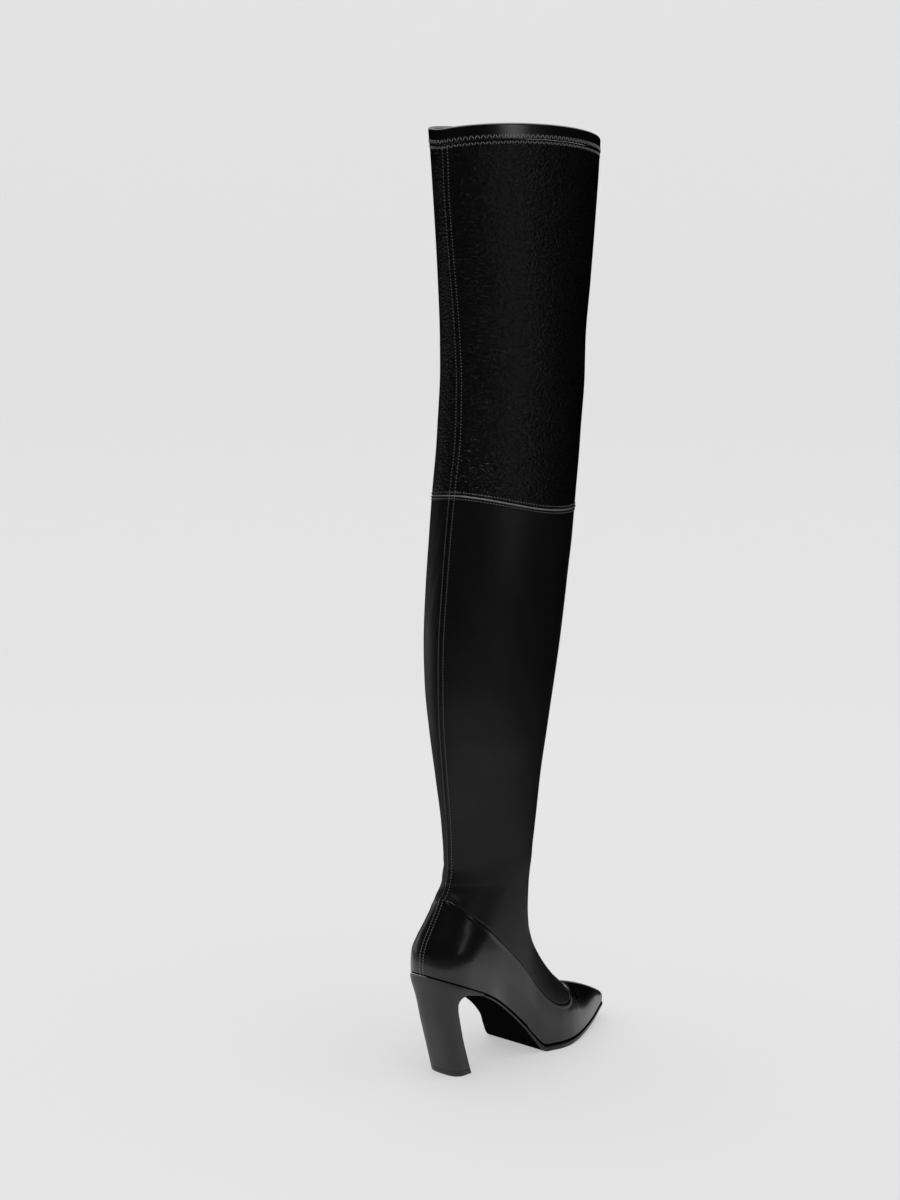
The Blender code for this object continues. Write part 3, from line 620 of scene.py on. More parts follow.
def half_width(x, z):
    """Half width of the boot at places in side view."""
    share = x / FOOT_LENGTH
    bulge = smooth_step((z - edge_height(x) - LASTING_BAND) / SIDE_BULGE_RISE)
    foot = BALL_WIDTH * (plan_half(share) + (plan_body(share) - plan_half(share)) * bulge)
    leg = THIGH_WIDTH / 2 * shaft_width(shaft_share(z))
    width = foot + (leg - foot) * leg_share(x, z)
    behind = (x - back_line(z)) / half_depth(z)
    square = SEAT_SQUARE + (2 - SEAT_SQUARE) * leg_share(x, z)
    distance, nearest, along = nearest_on_ridge(x, z)
    pair = RIDGE_LINE[nearest, 2:] * (1 - along)[:, None] + RIDGE_LINE[nearest + 1, 2:] * along[:, None]
    return width * rounding(behind, square) * rounding(distance / pair[:, 0], pair[:, 1])


def form_side(line, side, proud=0.0):
    """Points of the boot's form along a line of (x, z) rows: side is -1 on the outer side, 1 inner."""
    x, z = line[:, 0], line[:, 1]
    middle = middle_line(x, z)
    y = middle + side * (half_width(x, z) + proud)
    y[0], y[-1] = middle[0], middle[-1]
    return np.stack([x, y, z], axis=1)


def lengths_along(points, turn_weight=0.0):
    """Distances along a line of points, each turn counted as some more distance."""
    runs = np.diff(points, axis=0)
    steps = np.linalg.norm(runs, axis=1)
    if turn_weight:
        heads = runs / np.maximum(steps, 1e-9)[:, None]
        turns = np.arccos(np.clip((heads[1:] * heads[:-1]).sum(axis=1), -1, 1))
        steps = steps + turn_weight * np.concatenate([turns[:1], turns])
    return np.concatenate([[0.0], np.cumsum(steps)])


def even_line(line):
    """Re-space a line of (x, z) rows evenly along the form, closer where it turns."""
    lengths = lengths_along(form_side(line, -1), TURN_WEIGHT)
    return pick(np.linspace(0, lengths[-1], SIDE_SAMPLES + 1), lengths, line)


def ease_ends(count):
    """Shares from 0 to 1, crowded at both ends."""
    return (1 - np.cos(np.pi * np.arange(count + 1) / count)) / 2


def edge_line():
    """Lasting edge from the back to the toe tip."""
    x = FOOT_LENGTH * ease_ends(LINE_SAMPLES)
    return even_line(np.stack([x, edge_height(x)], axis=1))


def ankle_seam_line(shift):
    """Ankle seam from the back to the ridge, moved square to itself towards the leg."""
    throat_x = FOOT_LENGTH - (FOOT_LENGTH - RIDGE_LINE[RIDGE_SAMPLES + 1, 0]) * THROAT_SHARE
    lowest = ridge_at_x(throat_x) - THROAT_DROP
    reach = throat_x - ANKLE_SEAM_SET
    drop = lowest - ANKLE_SEAM_HEIGHT
    points = [(ANKLE_SEAM_SET + reach * on, ANKLE_SEAM_HEIGHT + drop * down) for on, down in SEAM_SIDE]
    points += [(ANKLE_SEAM_SET + reach * on, lowest + THROAT_DROP * up) for on, up in SEAM_THROAT]
    lengths = lengths_along(np.array(points))
    x_along, z_along = columns_of([(at,) + point for at, point in zip(lengths, points)])
    wanted = lengths[-1] * ease_ends(LINE_SAMPLES)
    line = even_line(np.stack([x_along(wanted), z_along(wanted)], axis=1))
    runs = np.gradient(line, axis=0)
    runs /= np.linalg.norm(runs, axis=1)[:, None]
    moved = line + shift * np.stack([-runs[:, 1], runs[:, 0]], axis=1)
    back_z = line[0, 1] + shift
    moved[0] = (back_line(back_z), back_z)
    moved[-1] = (line[-1, 0] - shift, ridge_at_x(line[-1, 0] - shift))
    return moved


def level_line(height):
    """Line round the shaft, its height a function of the share of the way to the front."""
    share = ease_ends(SIDE_SAMPLES)
    z = height(share)
    return np.stack([back_line(z) + (front_line(z) - back_line(z)) * share, z], axis=1)


def level_pairs(steps, height):
    """Lines round the shaft, on the outer and on the inner side, for each step up a panel."""
    return [tuple(level_line(lambda share: height(share, side, step)) for side in (-1, 1)) for step in steps]


def knee_seam_height(share, side):
    """Height of the knee seam, which dips towards the front and on the outer side."""
    dip = KNEE_SEAM_DIP_OUTER if side < 0 else KNEE_SEAM_DIP_INNER
    bow = np.sin(np.pi * share)
    return KNEE_SEAM_HEIGHT - KNEE_SEAM_DIP_FRONT * share - (dip - KNEE_SEAM_DIP_FRONT / 2) * bow


def rim_height(share, side, below=0.0):
    """Height of the rim, which rises to the front and bows up, more on the inner side."""
    bow = RIM_BOW_INNER if side > 0 else RIM_BOW_OUTER
    return BOOT_HEIGHT - RIM_RISE * (1 - share) + bow * np.sin(np.pi * share) ** RIM_BOW_SQUARE - below


def patch(low, high, back, front, rows):
    """Rows of places between two lines, whose ends follow the back and the ridge."""
    share = ease_ends(SIDE_SAMPLES)[:, None]
    result = []
    for row in rows:
        line = low * (1 - row) + high * row
        line = line + (back(row) - (low[0] * (1 - row) + high[0] * row)) * (1 - share)
        result.append(line + (front(row) - (low[-1] * (1 - row) + high[-1] * row)) * share)
    return result


def back_between(low_z, high_z):
    """Place on the back line at a share of the way between two heights."""
    def place(row):
        z = low_z + (high_z - low_z) * row
        return np.array([float(back_line(z)), z])
    return place


def ridge_between(start, end):
    """Place on the ridge at a share of the way between two of its places."""
    lengths = lengths_along(RIDGE_LINE[:, :2])
    ends = np.array([start, end])
    nearest, shares = nearest_on_ridge(ends[:, 0], ends[:, 1])[1:]
    first, last = lengths[nearest] + (lengths[nearest + 1] - lengths[nearest]) * shares

    def place(row):
        return pick(first + (last - first) * row, lengths, RIDGE_LINE[:, :2])
    return place


class Skin:
    """Outer face of one leather panel: rows of points from the low edge up, columns from the back seam."""

    def __init__(self, lines, columns, proud=0.0):
        points = []
        arcs = []
        for outer, inner in lines:
            ring = np.concatenate([form_side(outer, -1, proud), form_side(inner, 1, proud)[-2::-1]])
            ring[0, 0] -= proud
            ring[-1, 0] -= proud
            ring[SIDE_SAMPLES, 0] += proud
            row, arc = self.spread(ring, columns)
            points.append(row)
            arcs.append(arc)
        self.points = np.array(points)
        self.arcs = np.array(arcs)
        self.measure()

    def spread(self, ring, columns):
        """Points round a closed ring from the back seam, close to it and then as the form's lines are."""
        lengths = lengths_along(ring)
        total = lengths[-1]
        start = -float(back_seam(ring[0, 2]))
        near = np.array(SEAM_COLUMNS)
        marks = np.arange(len(ring))
        first = np.interp(near[-1] + start, lengths, marks)
        last = np.interp(total - near[-1] + start, lengths, marks)
        between = np.interp(np.linspace(first, last, columns + 1)[1:-1], marks, lengths) - start
        arcs = np.concatenate([near, between, total - near[::-1]])
        at = (arcs + start) % total
        row = pick(at, lengths, ring)
        row[-1] = row[0]
        return row, arcs

    def measure(self):
        """Normals, signed distances from the back seam and distances from both edges."""
        run = np.empty_like(self.points)
        run[:, 1:-1] = self.points[:, 2:] - self.points[:, :-2]
        run[:, 0] = run[:, -1] = self.points[:, 1] - self.points[:, -2]
        rise = np.gradient(self.points, axis=0)
        normals = np.cross(run, rise)
        self.normals = normals / np.maximum(np.linalg.norm(normals, axis=2), 1e-9)[:, :, None]
        total = self.arcs[:, -1:]
        self.aside = np.where(self.arcs <= total / 2, self.arcs, self.arcs - total)
        steps = np.linalg.norm(np.diff(self.points, axis=0), axis=2)
        zero = np.zeros((1, steps.shape[1]))
        self.above = np.concatenate([zero, np.cumsum(steps, axis=0)])
        self.below = self.above[-1] - self.above

    def raise_by(self, amount):
        """Move the face out along its normals by a field of millimetres."""
        self.points = self.points + self.normals * amount[:, :, None]

    def up_at(self, aside):
        """Line up the panel at a signed distance from the back seam: points and normals."""
        points = []
        normals = []
        for row in range(len(self.points)):
            at = aside % self.arcs[row, -1]
            points.append(pick(at, self.arcs[row], self.points[row]))
            normals.append(pick(at, self.arcs[row], self.normals[row]))
        return np.array(points), np.array(normals)

    def round_at(self, distance, from_top):
        """Line round the panel at a distance from its low or top edge: points and normals."""
        reach = self.below if from_top else self.above
        step = -1 if from_top else 1
        points = []
        normals = []
        for column in range(self.points.shape[1]):
            marks = reach[::step, column]
            points.append(pick(distance, marks, self.points[::step, column]))
            normals.append(pick(distance, marks, self.normals[::step, column]))
        return np.array(points), np.array(normals)


def creases_on(skin, creases):
    """Soft troughs with a low ridge at either side, each placed from a table."""
    field = np.zeros(skin.aside.shape)
    for aside, height, half_length, width, depth, tilt in creases:
        turn = math.radians(tilt)
        across = skin.aside - aside
        up = skin.points[:, :, 2] - height
        along = across * math.cos(turn) + up * math.sin(turn)
        off = up * math.cos(turn) - across * math.sin(turn)
        reach = np.clip(1 - (along / half_length) ** 2, 0, 1) ** 2
        ridge = CREASE_RIDGE * swell(np.abs(off), CREASE_RIDGE_SET * width, width)
        field += depth * reach * (ridge - swell(off, 0.0, width))
    return field


def seam_profile(distance, height, swells):
    """Relief of the leather at a distance from its seam."""
    return height * sum(share * swell(distance, middle, reach) for share, middle, reach in swells)


def seam_groove(distance, depth, ridge):
    """Groove at a seam with a soft ridge of turned leather beside it, drawn in again at the stitches."""
    return seam_profile(distance, ridge, TURNED_EDGE) - depth * swell(distance, 0.0, GROOVE_REACH)


def world(points):
    """Points in metres from the origin under the heel."""
    return (np.asarray(points) - (ORIGIN_X, 0.0, 0.0)) * MM


def new_object(name, shape, materials):
    """Smooth object from a bmesh, at the origin."""
    mesh = bpy.data.meshes.new(name)
    shape.to_mesh(mesh)
    shape.free()
    mesh.shade_smooth()
    for material in materials:
        mesh.materials.append(material)
    item = bpy.data.objects.new(name, mesh)
    bpy.context.scene.collection.objects.link(item)
    return item


def new_piece(name, shape, materials, angle=None):
    """Object that rides on the boot, its edges sharp past an angle in degrees."""
    item = new_object(name, shape, materials)
    if angle:
        item.data.set_sharp_from_angle(angle=math.radians(angle))
    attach(item, "root")
    return item


def sheet_from(points, across, up):
    """Closed sheet: a grid with its corners moved onto rows of points, joined at the first column."""
    rows, columns = points.shape[:2]
    shape = bmesh.new()
    bmesh.ops.create_grid(shape, x_segments=columns - 1, y_segments=rows - 1, size=0.5)
    marks = shape.loops.layers.uv.new("UVMap")
    place = world(points)
    index = {}
    for corner in shape.verts:
        column = round((corner.co.x + 0.5) * (columns - 1))
        row = round((corner.co.y + 0.5) * (rows - 1))
        index[corner.index] = (row, column)
    for face in shape.faces:
        for loop in face.loops:
            row, column = index[loop.vert.index]
            loop[marks].uv = (across[row, column] * MM, up[row, column] * MM)
    for corner in shape.verts:
        corner.co = place[index[corner.index]]
    bmesh.ops.remove_doubles(shape, verts=shape.verts, dist=MERGE_DISTANCE * MM)
    bmesh.ops.recalc_face_normals(shape, faces=shape.faces)
    return shape


def leather_panel(name, skin, wall, leather, lining):
    """Leather panel with a lining inside it."""
    shape = sheet_from(skin.points, skin.arcs, skin.above)
    item = new_piece(name, shape, (FINISHES[leather], FINISHES[lining]))
    solid = item.modifiers.new("Wall", "SOLIDIFY")
    solid.thickness = wall * MM
    solid.offset = -1.0
    solid.use_even_offset = False
    solid.material_offset = 1
    solid.material_offset_rim = 0
    return item


def solid_from_rings(name, rings, flat, finish, angle):
    """Closed solid from its sections, the first and last drawn flat. Up in the UV map counts sections."""
    points = np.array([flat(rings[0]), *rings, flat(rings[-1])])
    across = np.tile(np.linspace(0, 1, points.shape[1]), (len(points), 1))
    up = np.tile(np.arange(len(points))[:, None], (1, points.shape[1]))
    return new_piece(name, sheet_from(points, across, up), (FINISHES[finish],), angle)


def add_edge_finish(item, finish, chosen):
    """Another finish for the faces whose corners, (arc, distance up) in millimetres, are all chosen."""
    item.data.materials.append(FINISHES[finish])
    marks = item.data.uv_layers[0].data
    for face in item.data.polygons:
        if all(chosen(*(marks[loop].uv / MM)) for loop in face.loop_indices):
            face.material_index = len(item.data.materials) - 1


def linear(colour):
    """Linear colour from an sRGB hex value."""
    parts = [int(colour[i:i + 2], 16) / 255 for i in (1, 3, 5)]
    return [part / 12.92 if part <= 0.04045 else ((part + 0.055) / 1.055) ** 2.4 for part in parts]


class BootSizes(bpy.types.PropertyGroup):
    """Sizes of the seams and stitches. The stitches are drawn coarser than real, so that they show."""

    stitch_spacing: bpy.props.FloatProperty(
        name="Stitch spacing", description="Distance between stitches", default=0.0025, unit="LENGTH")
    stitch_length: bpy.props.FloatProperty(
        name="Stitch length", description="Length of one stitch", default=0.0013, unit="LENGTH")
    thread_width: bpy.props.FloatProperty(
        name="Thread width", description="Width of the thread", default=0.0007, unit="LENGTH")
    row_offset: bpy.props.FloatProperty(
        name="Row offset", description="Distance of a row of stitches from its seam", default=0.0026,
        unit="LENGTH")
    groove_depth: bpy.props.FloatProperty(
        name="Groove depth", description="Depth of the groove at a seam", default=0.0008, unit="LENGTH")
    ridge_height: bpy.props.FloatProperty(
        name="Ridge height", description="Height of the turned leather beside a seam", default=0.0005,
        unit="LENGTH")


def colour_property(name, description, colour):
    """Colour that a user can change, its default an sRGB hex value."""
    return bpy.props.FloatVectorProperty(
        name=name, description=description, subtype="COLOR", size=3, min=0.0, max=1.0, default=linear(colour))


class BootColours(bpy.types.PropertyGroup):
    """Colours of the boot and of its studio."""

    calf: colour_property("Calf", "Polished leather of the foot", "#0c0c0d")
    stretch: colour_property("Stretch", "Stretch leather of the shaft", "#0a0a0b")
    # Seam roll: pale grey that paints a highlight on the rolled edge at the knee seam
    roll: colour_property("Seam roll", "Worn edge that is rolled over at the knee seam", "#6a6a6c")
    # Rim: pale grey that paints a highlight on the top of the collar's fold
    rim: colour_property("Rim", "Cut edge of the lining at the rim", "#8a8a88")
    # Feather: near black that paints the shade of the gap where the upper meets the sole
    feather: colour_property("Feather", "Dyed edge where the upper meets the sole", "#050505")
    heel: colour_property("Heel", "Leather over the heel block", "#1c1c1e")
    sole: colour_property("Sole", "Sole and its edge", "#0b0b0c")
    rubber: colour_property("Rubber", "Lift under the heel", "#1c1c1e")
    lining: colour_property("Lining", "Inside of the boot", "#8d8a86")
    thread: colour_property("Thread", "Stitching", "#747476")
    floor: colour_property("Floor", "Studio floor and sweep", "#e9e9e9")


def node(tree, kind, links=None, inputs=None, **settings):
    """Add one node with its settings, input values and links."""
    item = tree.nodes.new(kind)
    for name, value in settings.items():
        setattr(item, name, value)
    for name, value in (inputs or {}).items():
        item.inputs[name].default_value = value
    for name, source in (links or {}).items():
        tree.links.new(source, item.inputs[name])
    return item


def new_material(name, colour, **values):
    """Material, its node tree and its shader, with constants on the shader's own sockets."""
    material = bpy.data.materials.new(name)
    material.use_nodes = True
    shader = material.node_tree.nodes["Principled BSDF"]
    shader.inputs["Base Color"].default_value = (*colour, 1.0)
    for socket, value in values.items():
        shader.inputs[socket.replace("_", " ")].default_value = value
    return material, material.node_tree, shader


def leather_finish(name, colour, roughness, coat, grain, wrinkle, spread, shine=0.5):
    """Dyed leather: pebbles over wrinkles, and patches that are rubbed a little more or less.

    Grain is the pebbles' size and depth in millimetres, wrinkle the same and the stretch across the leg;
    spread is how far the roughness goes up and down. Real grain is finer, and would not show.
    """
    material, tree, shader = new_material(
        name, colour, Roughness=roughness, IOR=FINISH_IOR, Specular_IOR_Level=shine, Coat_Weight=coat,
        Coat_Roughness=COAT_ROUGHNESS)
    uv = node(tree, "ShaderNodeTexCoord").outputs["UV"]
    size, depth = grain
    cells = node(tree, "ShaderNodeMapping", {"Vector": uv}, {"Scale": (1 / (size * MM),) * 3})
    pebbles = node(tree, "ShaderNodeTexVoronoi", {"Vector": cells.outputs[0]}, {"Scale": 1.0},
                   feature="SMOOTH_F1")
    size, fold, stretch = wrinkle
    lines = node(tree, "ShaderNodeMapping", {"Vector": uv},
                 {"Scale": (1 / (stretch * size * MM), 1 / (size * MM), 1 / (size * MM))})
    folds = node(tree, "ShaderNodeTexNoise", {"Vector": lines.outputs[0]}, {"Scale": 1.0, "Detail": 3.0})
    patches = node(tree, "ShaderNodeMapping", {"Vector": uv}, {"Scale": (1 / (RUBBED_PATCH * MM),) * 3})
    cloud = node(tree, "ShaderNodeTexNoise", {"Vector": patches.outputs[0]}, {"Scale": 1.0, "Detail": 2.0})
    rubbed = node(tree, "ShaderNodeMapRange", {"Value": cloud.outputs["Fac"]},
                  {"From Min": NOISE_LOW, "From Max": NOISE_HIGH,
                   "To Min": roughness - spread, "To Max": roughness + spread})
    tree.links.new(rubbed.outputs[0], shader.inputs["Roughness"])
    low = node(tree, "ShaderNodeBump", {"Height": folds.outputs["Fac"]},
               {"Strength": 1.0, "Distance": fold * MM})
    top = node(tree, "ShaderNodeBump", {"Height": pebbles.outputs["Distance"], "Normal": low.outputs[0]},
               {"Strength": 1.0, "Distance": depth * MM}, invert=True)
    tree.links.new(top.outputs[0], shader.inputs["Normal"])
    return material


def plain_finish(name, colour, roughness, speck, depth, shine=0.5):
    """Even finish with fine specks in its surface, their size and depth in millimetres."""
    material, tree, shader = new_material(
        name, colour, Roughness=roughness, IOR=FINISH_IOR, Specular_IOR_Level=shine)
    place = node(tree, "ShaderNodeTexCoord").outputs["Object"]
    scale = node(tree, "ShaderNodeMapping", {"Vector": place}, {"Scale": (1 / (speck * MM),) * 3})
    grit = node(tree, "ShaderNodeTexNoise", {"Vector": scale.outputs[0]}, {"Scale": 1.0, "Detail": 4.0})
    tone = node(tree, "ShaderNodeMapRange", {"Value": grit.outputs["Fac"]},
                {"From Min": NOISE_LOW, "From Max": NOISE_HIGH,
                 "To Min": roughness - SPECK_SPREAD, "To Max": roughness + SPECK_SPREAD})
    tree.links.new(tone.outputs[0], shader.inputs["Roughness"])
    bump = node(tree, "ShaderNodeBump", {"Height": grit.outputs["Fac"]},
                {"Strength": 1.0, "Distance": depth * MM})
    tree.links.new(bump.outputs[0], shader.inputs["Normal"])
    return material


class BOOT_OT_finishes(bpy.types.Operator):
    """Mix the leathers and the boot's other finishes"""

    bl_idname = "boot.finishes"
    bl_label = "Finishes"

    def execute(self, context):
        colours = context.scene.boot_colours
        # Calf, dyed, pressed and polished: broad clean reflections under a thin clear coat
        FINISHES["calf"] = leather_finish(
            "polished_calf", colours.calf, 0.30, 0.25, (0.9, 0.012), (3.0, 0.03, 4.0), 0.04)
        # Stretch nappa, dyed in the drum: a soft satin sheen, with faint lines across the leg
        FINISHES["shaft"] = leather_finish(
            "drum_dyed_stretch_nappa", colours.stretch, 0.47, 0.0, (1.0, 0.04), (1.6, 0.12, 4.0), 0.05, 0.58)
        # Stretch nappa with a shrunken grain: small dull sparks. Drawn coarser than real, so that it shows
        FINISHES["thigh"] = leather_finish(
            "pebbled_stretch_nappa", colours.stretch, 0.34, 0.0, (1.9, 0.80), (1.7, 1.05, 2.6), 0.06, 0.44)
        # Edge rolled over at the knee seam, pressed, under a thick clear coat: it shows as a pale line, its
        # pale grey a painted highlight and the coat's shine real
        FINISHES["roll"] = leather_finish(
            "painted_highlight_seam_roll", colours.roll, 0.28, 0.9, (1.0, 0.02), (1.6, 0.03, 4.0), 0.03)
        # Nappa folded tight over the rim: smoother than the panels, so its rounded fold catches the light
        FINISHES["collar"] = leather_finish(
            "folded_nappa_band", colours.stretch, 0.34, 0.4, (1.0, 0.03), (2.0, 0.04, 3.0), 0.04)
        # Leather stretched and glued over the heel: its grain is pulled flat, so it is even and satin
        FINISHES["heel"] = plain_finish("covered_heel_leather", colours.heel, 0.42, 1.2, 0.01)
        # Sole leather, dyed and waxed, turned to the floor: deep black with no shine of its own
        FINISHES["sole"] = plain_finish("waxed_sole_leather", colours.sole, 0.32, 2.0, 0.002, 0.0)
        # Sole's edge, inked and burnished: a harder shine than the underside
        FINISHES["edge"] = plain_finish("burnished_sole_edge", colours.sole, 0.35, 1.5, 0.004)
        # Moulded rubber: dull, with the fine texture of its mould
        FINISHES["rubber"] = plain_finish("moulded_rubber_lift", colours.rubber, 0.45, 0.8, 0.01)
        # Top of the collar's rounded fold at the rim: a thin pale line along the rim, with no shine, painted
        # as the highlight of the fold
        FINISHES["rim"] = plain_finish("painted_highlight_rim_fold", colours.rim, 0.7, 0.8, 0.02)
        # Where the upper is lasted to the sole: a dull black line, painted shade of the gap there
        FINISHES["feather"] = plain_finish("painted_shade_feather_line", colours.feather, 0.9, 1.0, 0.01, 0.05)
        # Microfibre, brushed: pale, soft and without shine
        FINISHES["lining"] = plain_finish("brushed_microfibre_lining", colours.lining, 0.85, 0.7, 0.05)
        # Thin leather glued on the insole: the lining's colour, a little smoother
        FINISHES["insole"] = plain_finish("lined_insole_leather", colours.lining, 0.7, 1.0, 0.03)
        # Nylon thread, bonded: grey against the leather. Drawn thicker than real, so that it shows
        FINISHES["thread"] = plain_finish("bonded_nylon_thread", colours.thread, 0.5, 0.4, 0.02)
        return {"FINISHED"}


def seam_relief(skin, sizes, rolled_top):
    """Groove and puckers down the back seam, with a rolled top edge or else a grooved low edge."""
    depth = sizes.groove_depth / MM
    ridge = sizes.ridge_height / MM
    relief = seam_groove(np.abs(skin.aside), depth, ridge)
    pucker = np.cos(2 * np.pi * skin.above / PUCKER_LENGTH)
    relief += PUCKER_DEPTH * pucker * swell(skin.aside, 0.0, PUCKER_REACH)
    if rolled_top:
        return relief + seam_profile(skin.below, ROLL_HEIGHT * ridge, ROLLED_EDGE)
    return relief + seam_groove(skin.above, depth, ridge)


class BOOT_OT_foot_upper(bpy.types.Operator):
    """Build the polished leather foot part with its lap at the ankle seam"""

    bl_idname = "boot.foot_upper"
    bl_label = "Foot upper"

    def execute(self, context):
        low = edge_line()
        high = ankle_seam_line(-SEAM_GAP / 2)
        back = back_between(low[0, 1], high[0, 1])
        lines = patch(low, high, back, ridge_between(low[-1], high[-1]), FOOT_ROWS)
        lines[0] = lines[0] - (0.0, GAP - LEAST_GAP)
        skin = Skin([(line, line) for line in lines], FOOT_COLUMNS)
        tape = smooth_step((TAPE_HALF - np.abs(skin.aside)) / TAPE_EASE)
        lap = smooth_step((LAP_WIDTH - skin.below) / LAP_EASE)
        relief = TAPE_RISE * tape - TAPE_NICK * swell(skin.aside, 0.0, TAPE_NICK_REACH)
        relief += LAP_RISE * (lap - swell(skin.below, 0.0, LAP_NICK_REACH))
        relief -= EDGE_TUCK * smooth_step((TUCK_HEIGHT - skin.above) / TUCK_EASE)
        skin.raise_by(relief + creases_on(skin, FOOT_CREASES))
        SKINS["foot"] = skin
        item = leather_panel("foot_leather", skin, FOOT_WALL, "calf", "lining")
        # The low edge of the upper takes the near black of the painted shade
        add_edge_finish(item, "feather", lambda arc, up: up < FEATHER_SHADE_LINE)
        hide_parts("foot_upper")
        return {"FINISHED"}


class BOOT_OT_lower_shaft(bpy.types.Operator):
    """Build the stretch leather leg from the ankle seam to the knee seam"""

    bl_idname = "boot.lower_shaft"
    bl_label = "Lower shaft"

    def execute(self, context):
        def height(share, side, up):
            seam = knee_seam_height(share, side) - SEAM_GAP / 2
            return ANKLE_FRONT_HEIGHT + (seam - ANKLE_FRONT_HEIGHT) * up

        low = ankle_seam_line(SEAM_GAP / 2)
        high = level_line(lambda share: ANKLE_FRONT_HEIGHT + 0 * share)
        back = back_between(low[0, 1], ANKLE_FRONT_HEIGHT)
        lines = patch(low, high, back, ridge_between(low[-1], high[-1]), ANKLE_ROWS)
        skin = Skin([(line, line) for line in lines] + level_pairs(CALF_ROWS, height), SHAFT_COLUMNS)
        relief = seam_relief(skin, context.scene.boot_sizes, True) + creases_on(skin, CALF_CREASES)
        skin.raise_by(relief - EDGE_TUCK * swell(skin.above, 0.0, LEG_TUCK_REACH))
        SKINS["calf"] = skin
        item = leather_panel("leg_leather", skin, SHAFT_WALL, "shaft", "lining")
        # The rolled edge at the knee seam takes the pale grey of the painted highlight
        arcs = skin.arcs[-1]
        roll_highlight_starts = skin.above[np.searchsorted(-skin.below[:, 0], -ROLL_HIGHLIGHT_REACH)]
        add_edge_finish(item, "roll", lambda arc, up: up > np.interp(arc, arcs, roll_highlight_starts))
        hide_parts("lower_shaft")
        return {"FINISHED"}


class BOOT_OT_upper_shaft(bpy.types.Operator):
    """Build the pebbled thigh panel from the knee seam to the collar"""

    bl_idname = "boot.upper_shaft"
    bl_label = "Upper shaft"

    def execute(self, context):
        def height(share, side, up):
            seam = knee_seam_height(share, side) + SEAM_GAP / 2
            return seam + (rim_height(share, side, COLLAR_HEIGHT + SEAM_GAP) - seam) * up

        skin = Skin(level_pairs(THIGH_ROWS, height), SHAFT_COLUMNS)
        skin.raise_by(seam_relief(skin, context.scene.boot_sizes, False) + creases_on(skin, THIGH_CREASES))
        SKINS["thigh"] = skin
        item = leather_panel("thigh_leather_panel", skin, SHAFT_WALL, "thigh", "lining")
        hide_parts("upper_shaft")
        return {"FINISHED"}


class BOOT_OT_collar_band(bpy.types.Operator):
    """Build the folded band round the top, its fold rounded over"""

    bl_idname = "boot.collar_band"
    bl_label = "Collar band"

    def execute(self, context):
        skin = Skin(level_pairs(COLLAR_ROWS, rim_height), SHAFT_COLUMNS, COLLAR_PROUD)
        top = np.clip(1 - skin.below / FOLD_HEIGHT, 0, 1)
        low = np.clip(1 - skin.above / FOLD_TURN, 0, 1)
        skin.raise_by(-FOLD_DEPTH * (1 - np.sqrt(1 - top * top)) - FOLD_TURN * (1 - np.sqrt(1 - low * low)))
        SKINS["collar"] = skin
        item = leather_panel("folded_collar", skin, COLLAR_WALL, "collar", "collar")
        # The top of the fold takes the pale grey of the painted highlight
        add_edge_finish(item, "rim", lambda arc, up: up > COLLAR_HEIGHT - RIM_HIGHLIGHT_LINE)
        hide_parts("collar_band")
        return {"FINISHED"}


def outline(places, inset, height):
    """Outline of the lasting edge at an inset: outer side forward, inner side back."""
    share = np.clip(places / FOOT_LENGTH, 0, 1)
    middle = BALL_WIDTH * plan_middle(share)
    back = rounding((places - inset) / SEAT_ROUND, SEAT_SQUARE)
    front = rounding((FOOT_LENGTH - inset - places) / TOE_ROUND, RIDGE[0][3])
    width = np.maximum(BALL_WIDTH * plan_half(share) - inset, 0.0) * back * front
    outer = np.stack([places, middle - width, height(places)], axis=1)
    inner = np.stack([places, middle + width, height(places)], axis=1)
    return np.concatenate([outer, inner[::-1], outer[:1]])


def outline_flat(ring):
    """Outline drawn onto its middle line, which closes a slab with strips."""
    halfway = (ring[:-1] + ring[-2::-1]) / 2
    return np.concatenate([halfway, halfway[:1]])


def sole_top(x):
    """Height of the outsole's upper face."""
    return edge_height(x) - GAP


def sole_side(x, down):
    """Height on the outsole's side, at a share of the way down from its feather."""
    thickness = SOLE_THICKNESS * edge_thickness(x / FOOT_LENGTH)
    feather = sole_top(x) - np.minimum(FEATHER_DEPTH, thickness / 3)
    return feather + (sole_top(x) - thickness - feather) * down


class BOOT_OT_outsole(bpy.types.Operator):
    """Build the waxed outsole with its rounded edge"""

    bl_idname = "boot.outsole"
    bl_label = "Outsole"

    def execute(self, context):
        start = HEEL_SEAT_REACH + GAP
        share = np.sin(np.pi / 2 * np.linspace(0, 1, SOLE_STRIPS))
        places = start + (FOOT_LENGTH - SOLE_TOE_SET - start) * share
        span = places[-1] - start

        def section(inset, height):
            return outline(start + (span - inset) * (places - start) / span, inset, height)

        rings = [section(FEATHER_INSET, sole_top)]
        for inset, down in SOLE_EDGE:
            rings.append(section(inset, lambda x: sole_side(x, down)))
        item = solid_from_rings(
            "waxed_outsole", rings, outline_flat, "sole", SOLE_SHARP_ANGLE)
        # The inked edge: sections from below the feather's groove to the tread, counted up in the UV map
        add_edge_finish(item, "edge", lambda arc, up: 2.5 < up < len(rings) + 0.5)
        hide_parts("outsole")
        return {"FINISHED"}


def heel_ring(back, front, half, round_back, square, hollow):
    """One section of the heel: back middle, outer side, breast, inner side."""
    x = back[0] + (front[0] - back[0]) * HEEL_SHARES
    z = back[1] + (front[1] - back[1]) * HEEL_SHARES
    width = half * rounding(math.dist(back, front) * HEEL_SHARES / round_back, square)
    breast_x = front[0] - hollow * (1 - BREAST_PLACES ** 2)
    breast = np.stack([breast_x, half * BREAST_PLACES, np.full(len(BREAST_PLACES), front[1])], axis=1)
    outer = np.stack([x, -width, z], axis=1)
    inner = np.stack([x, width, z], axis=1)
    return np.concatenate([outer, breast, inner[:0:-1], outer[:1]])


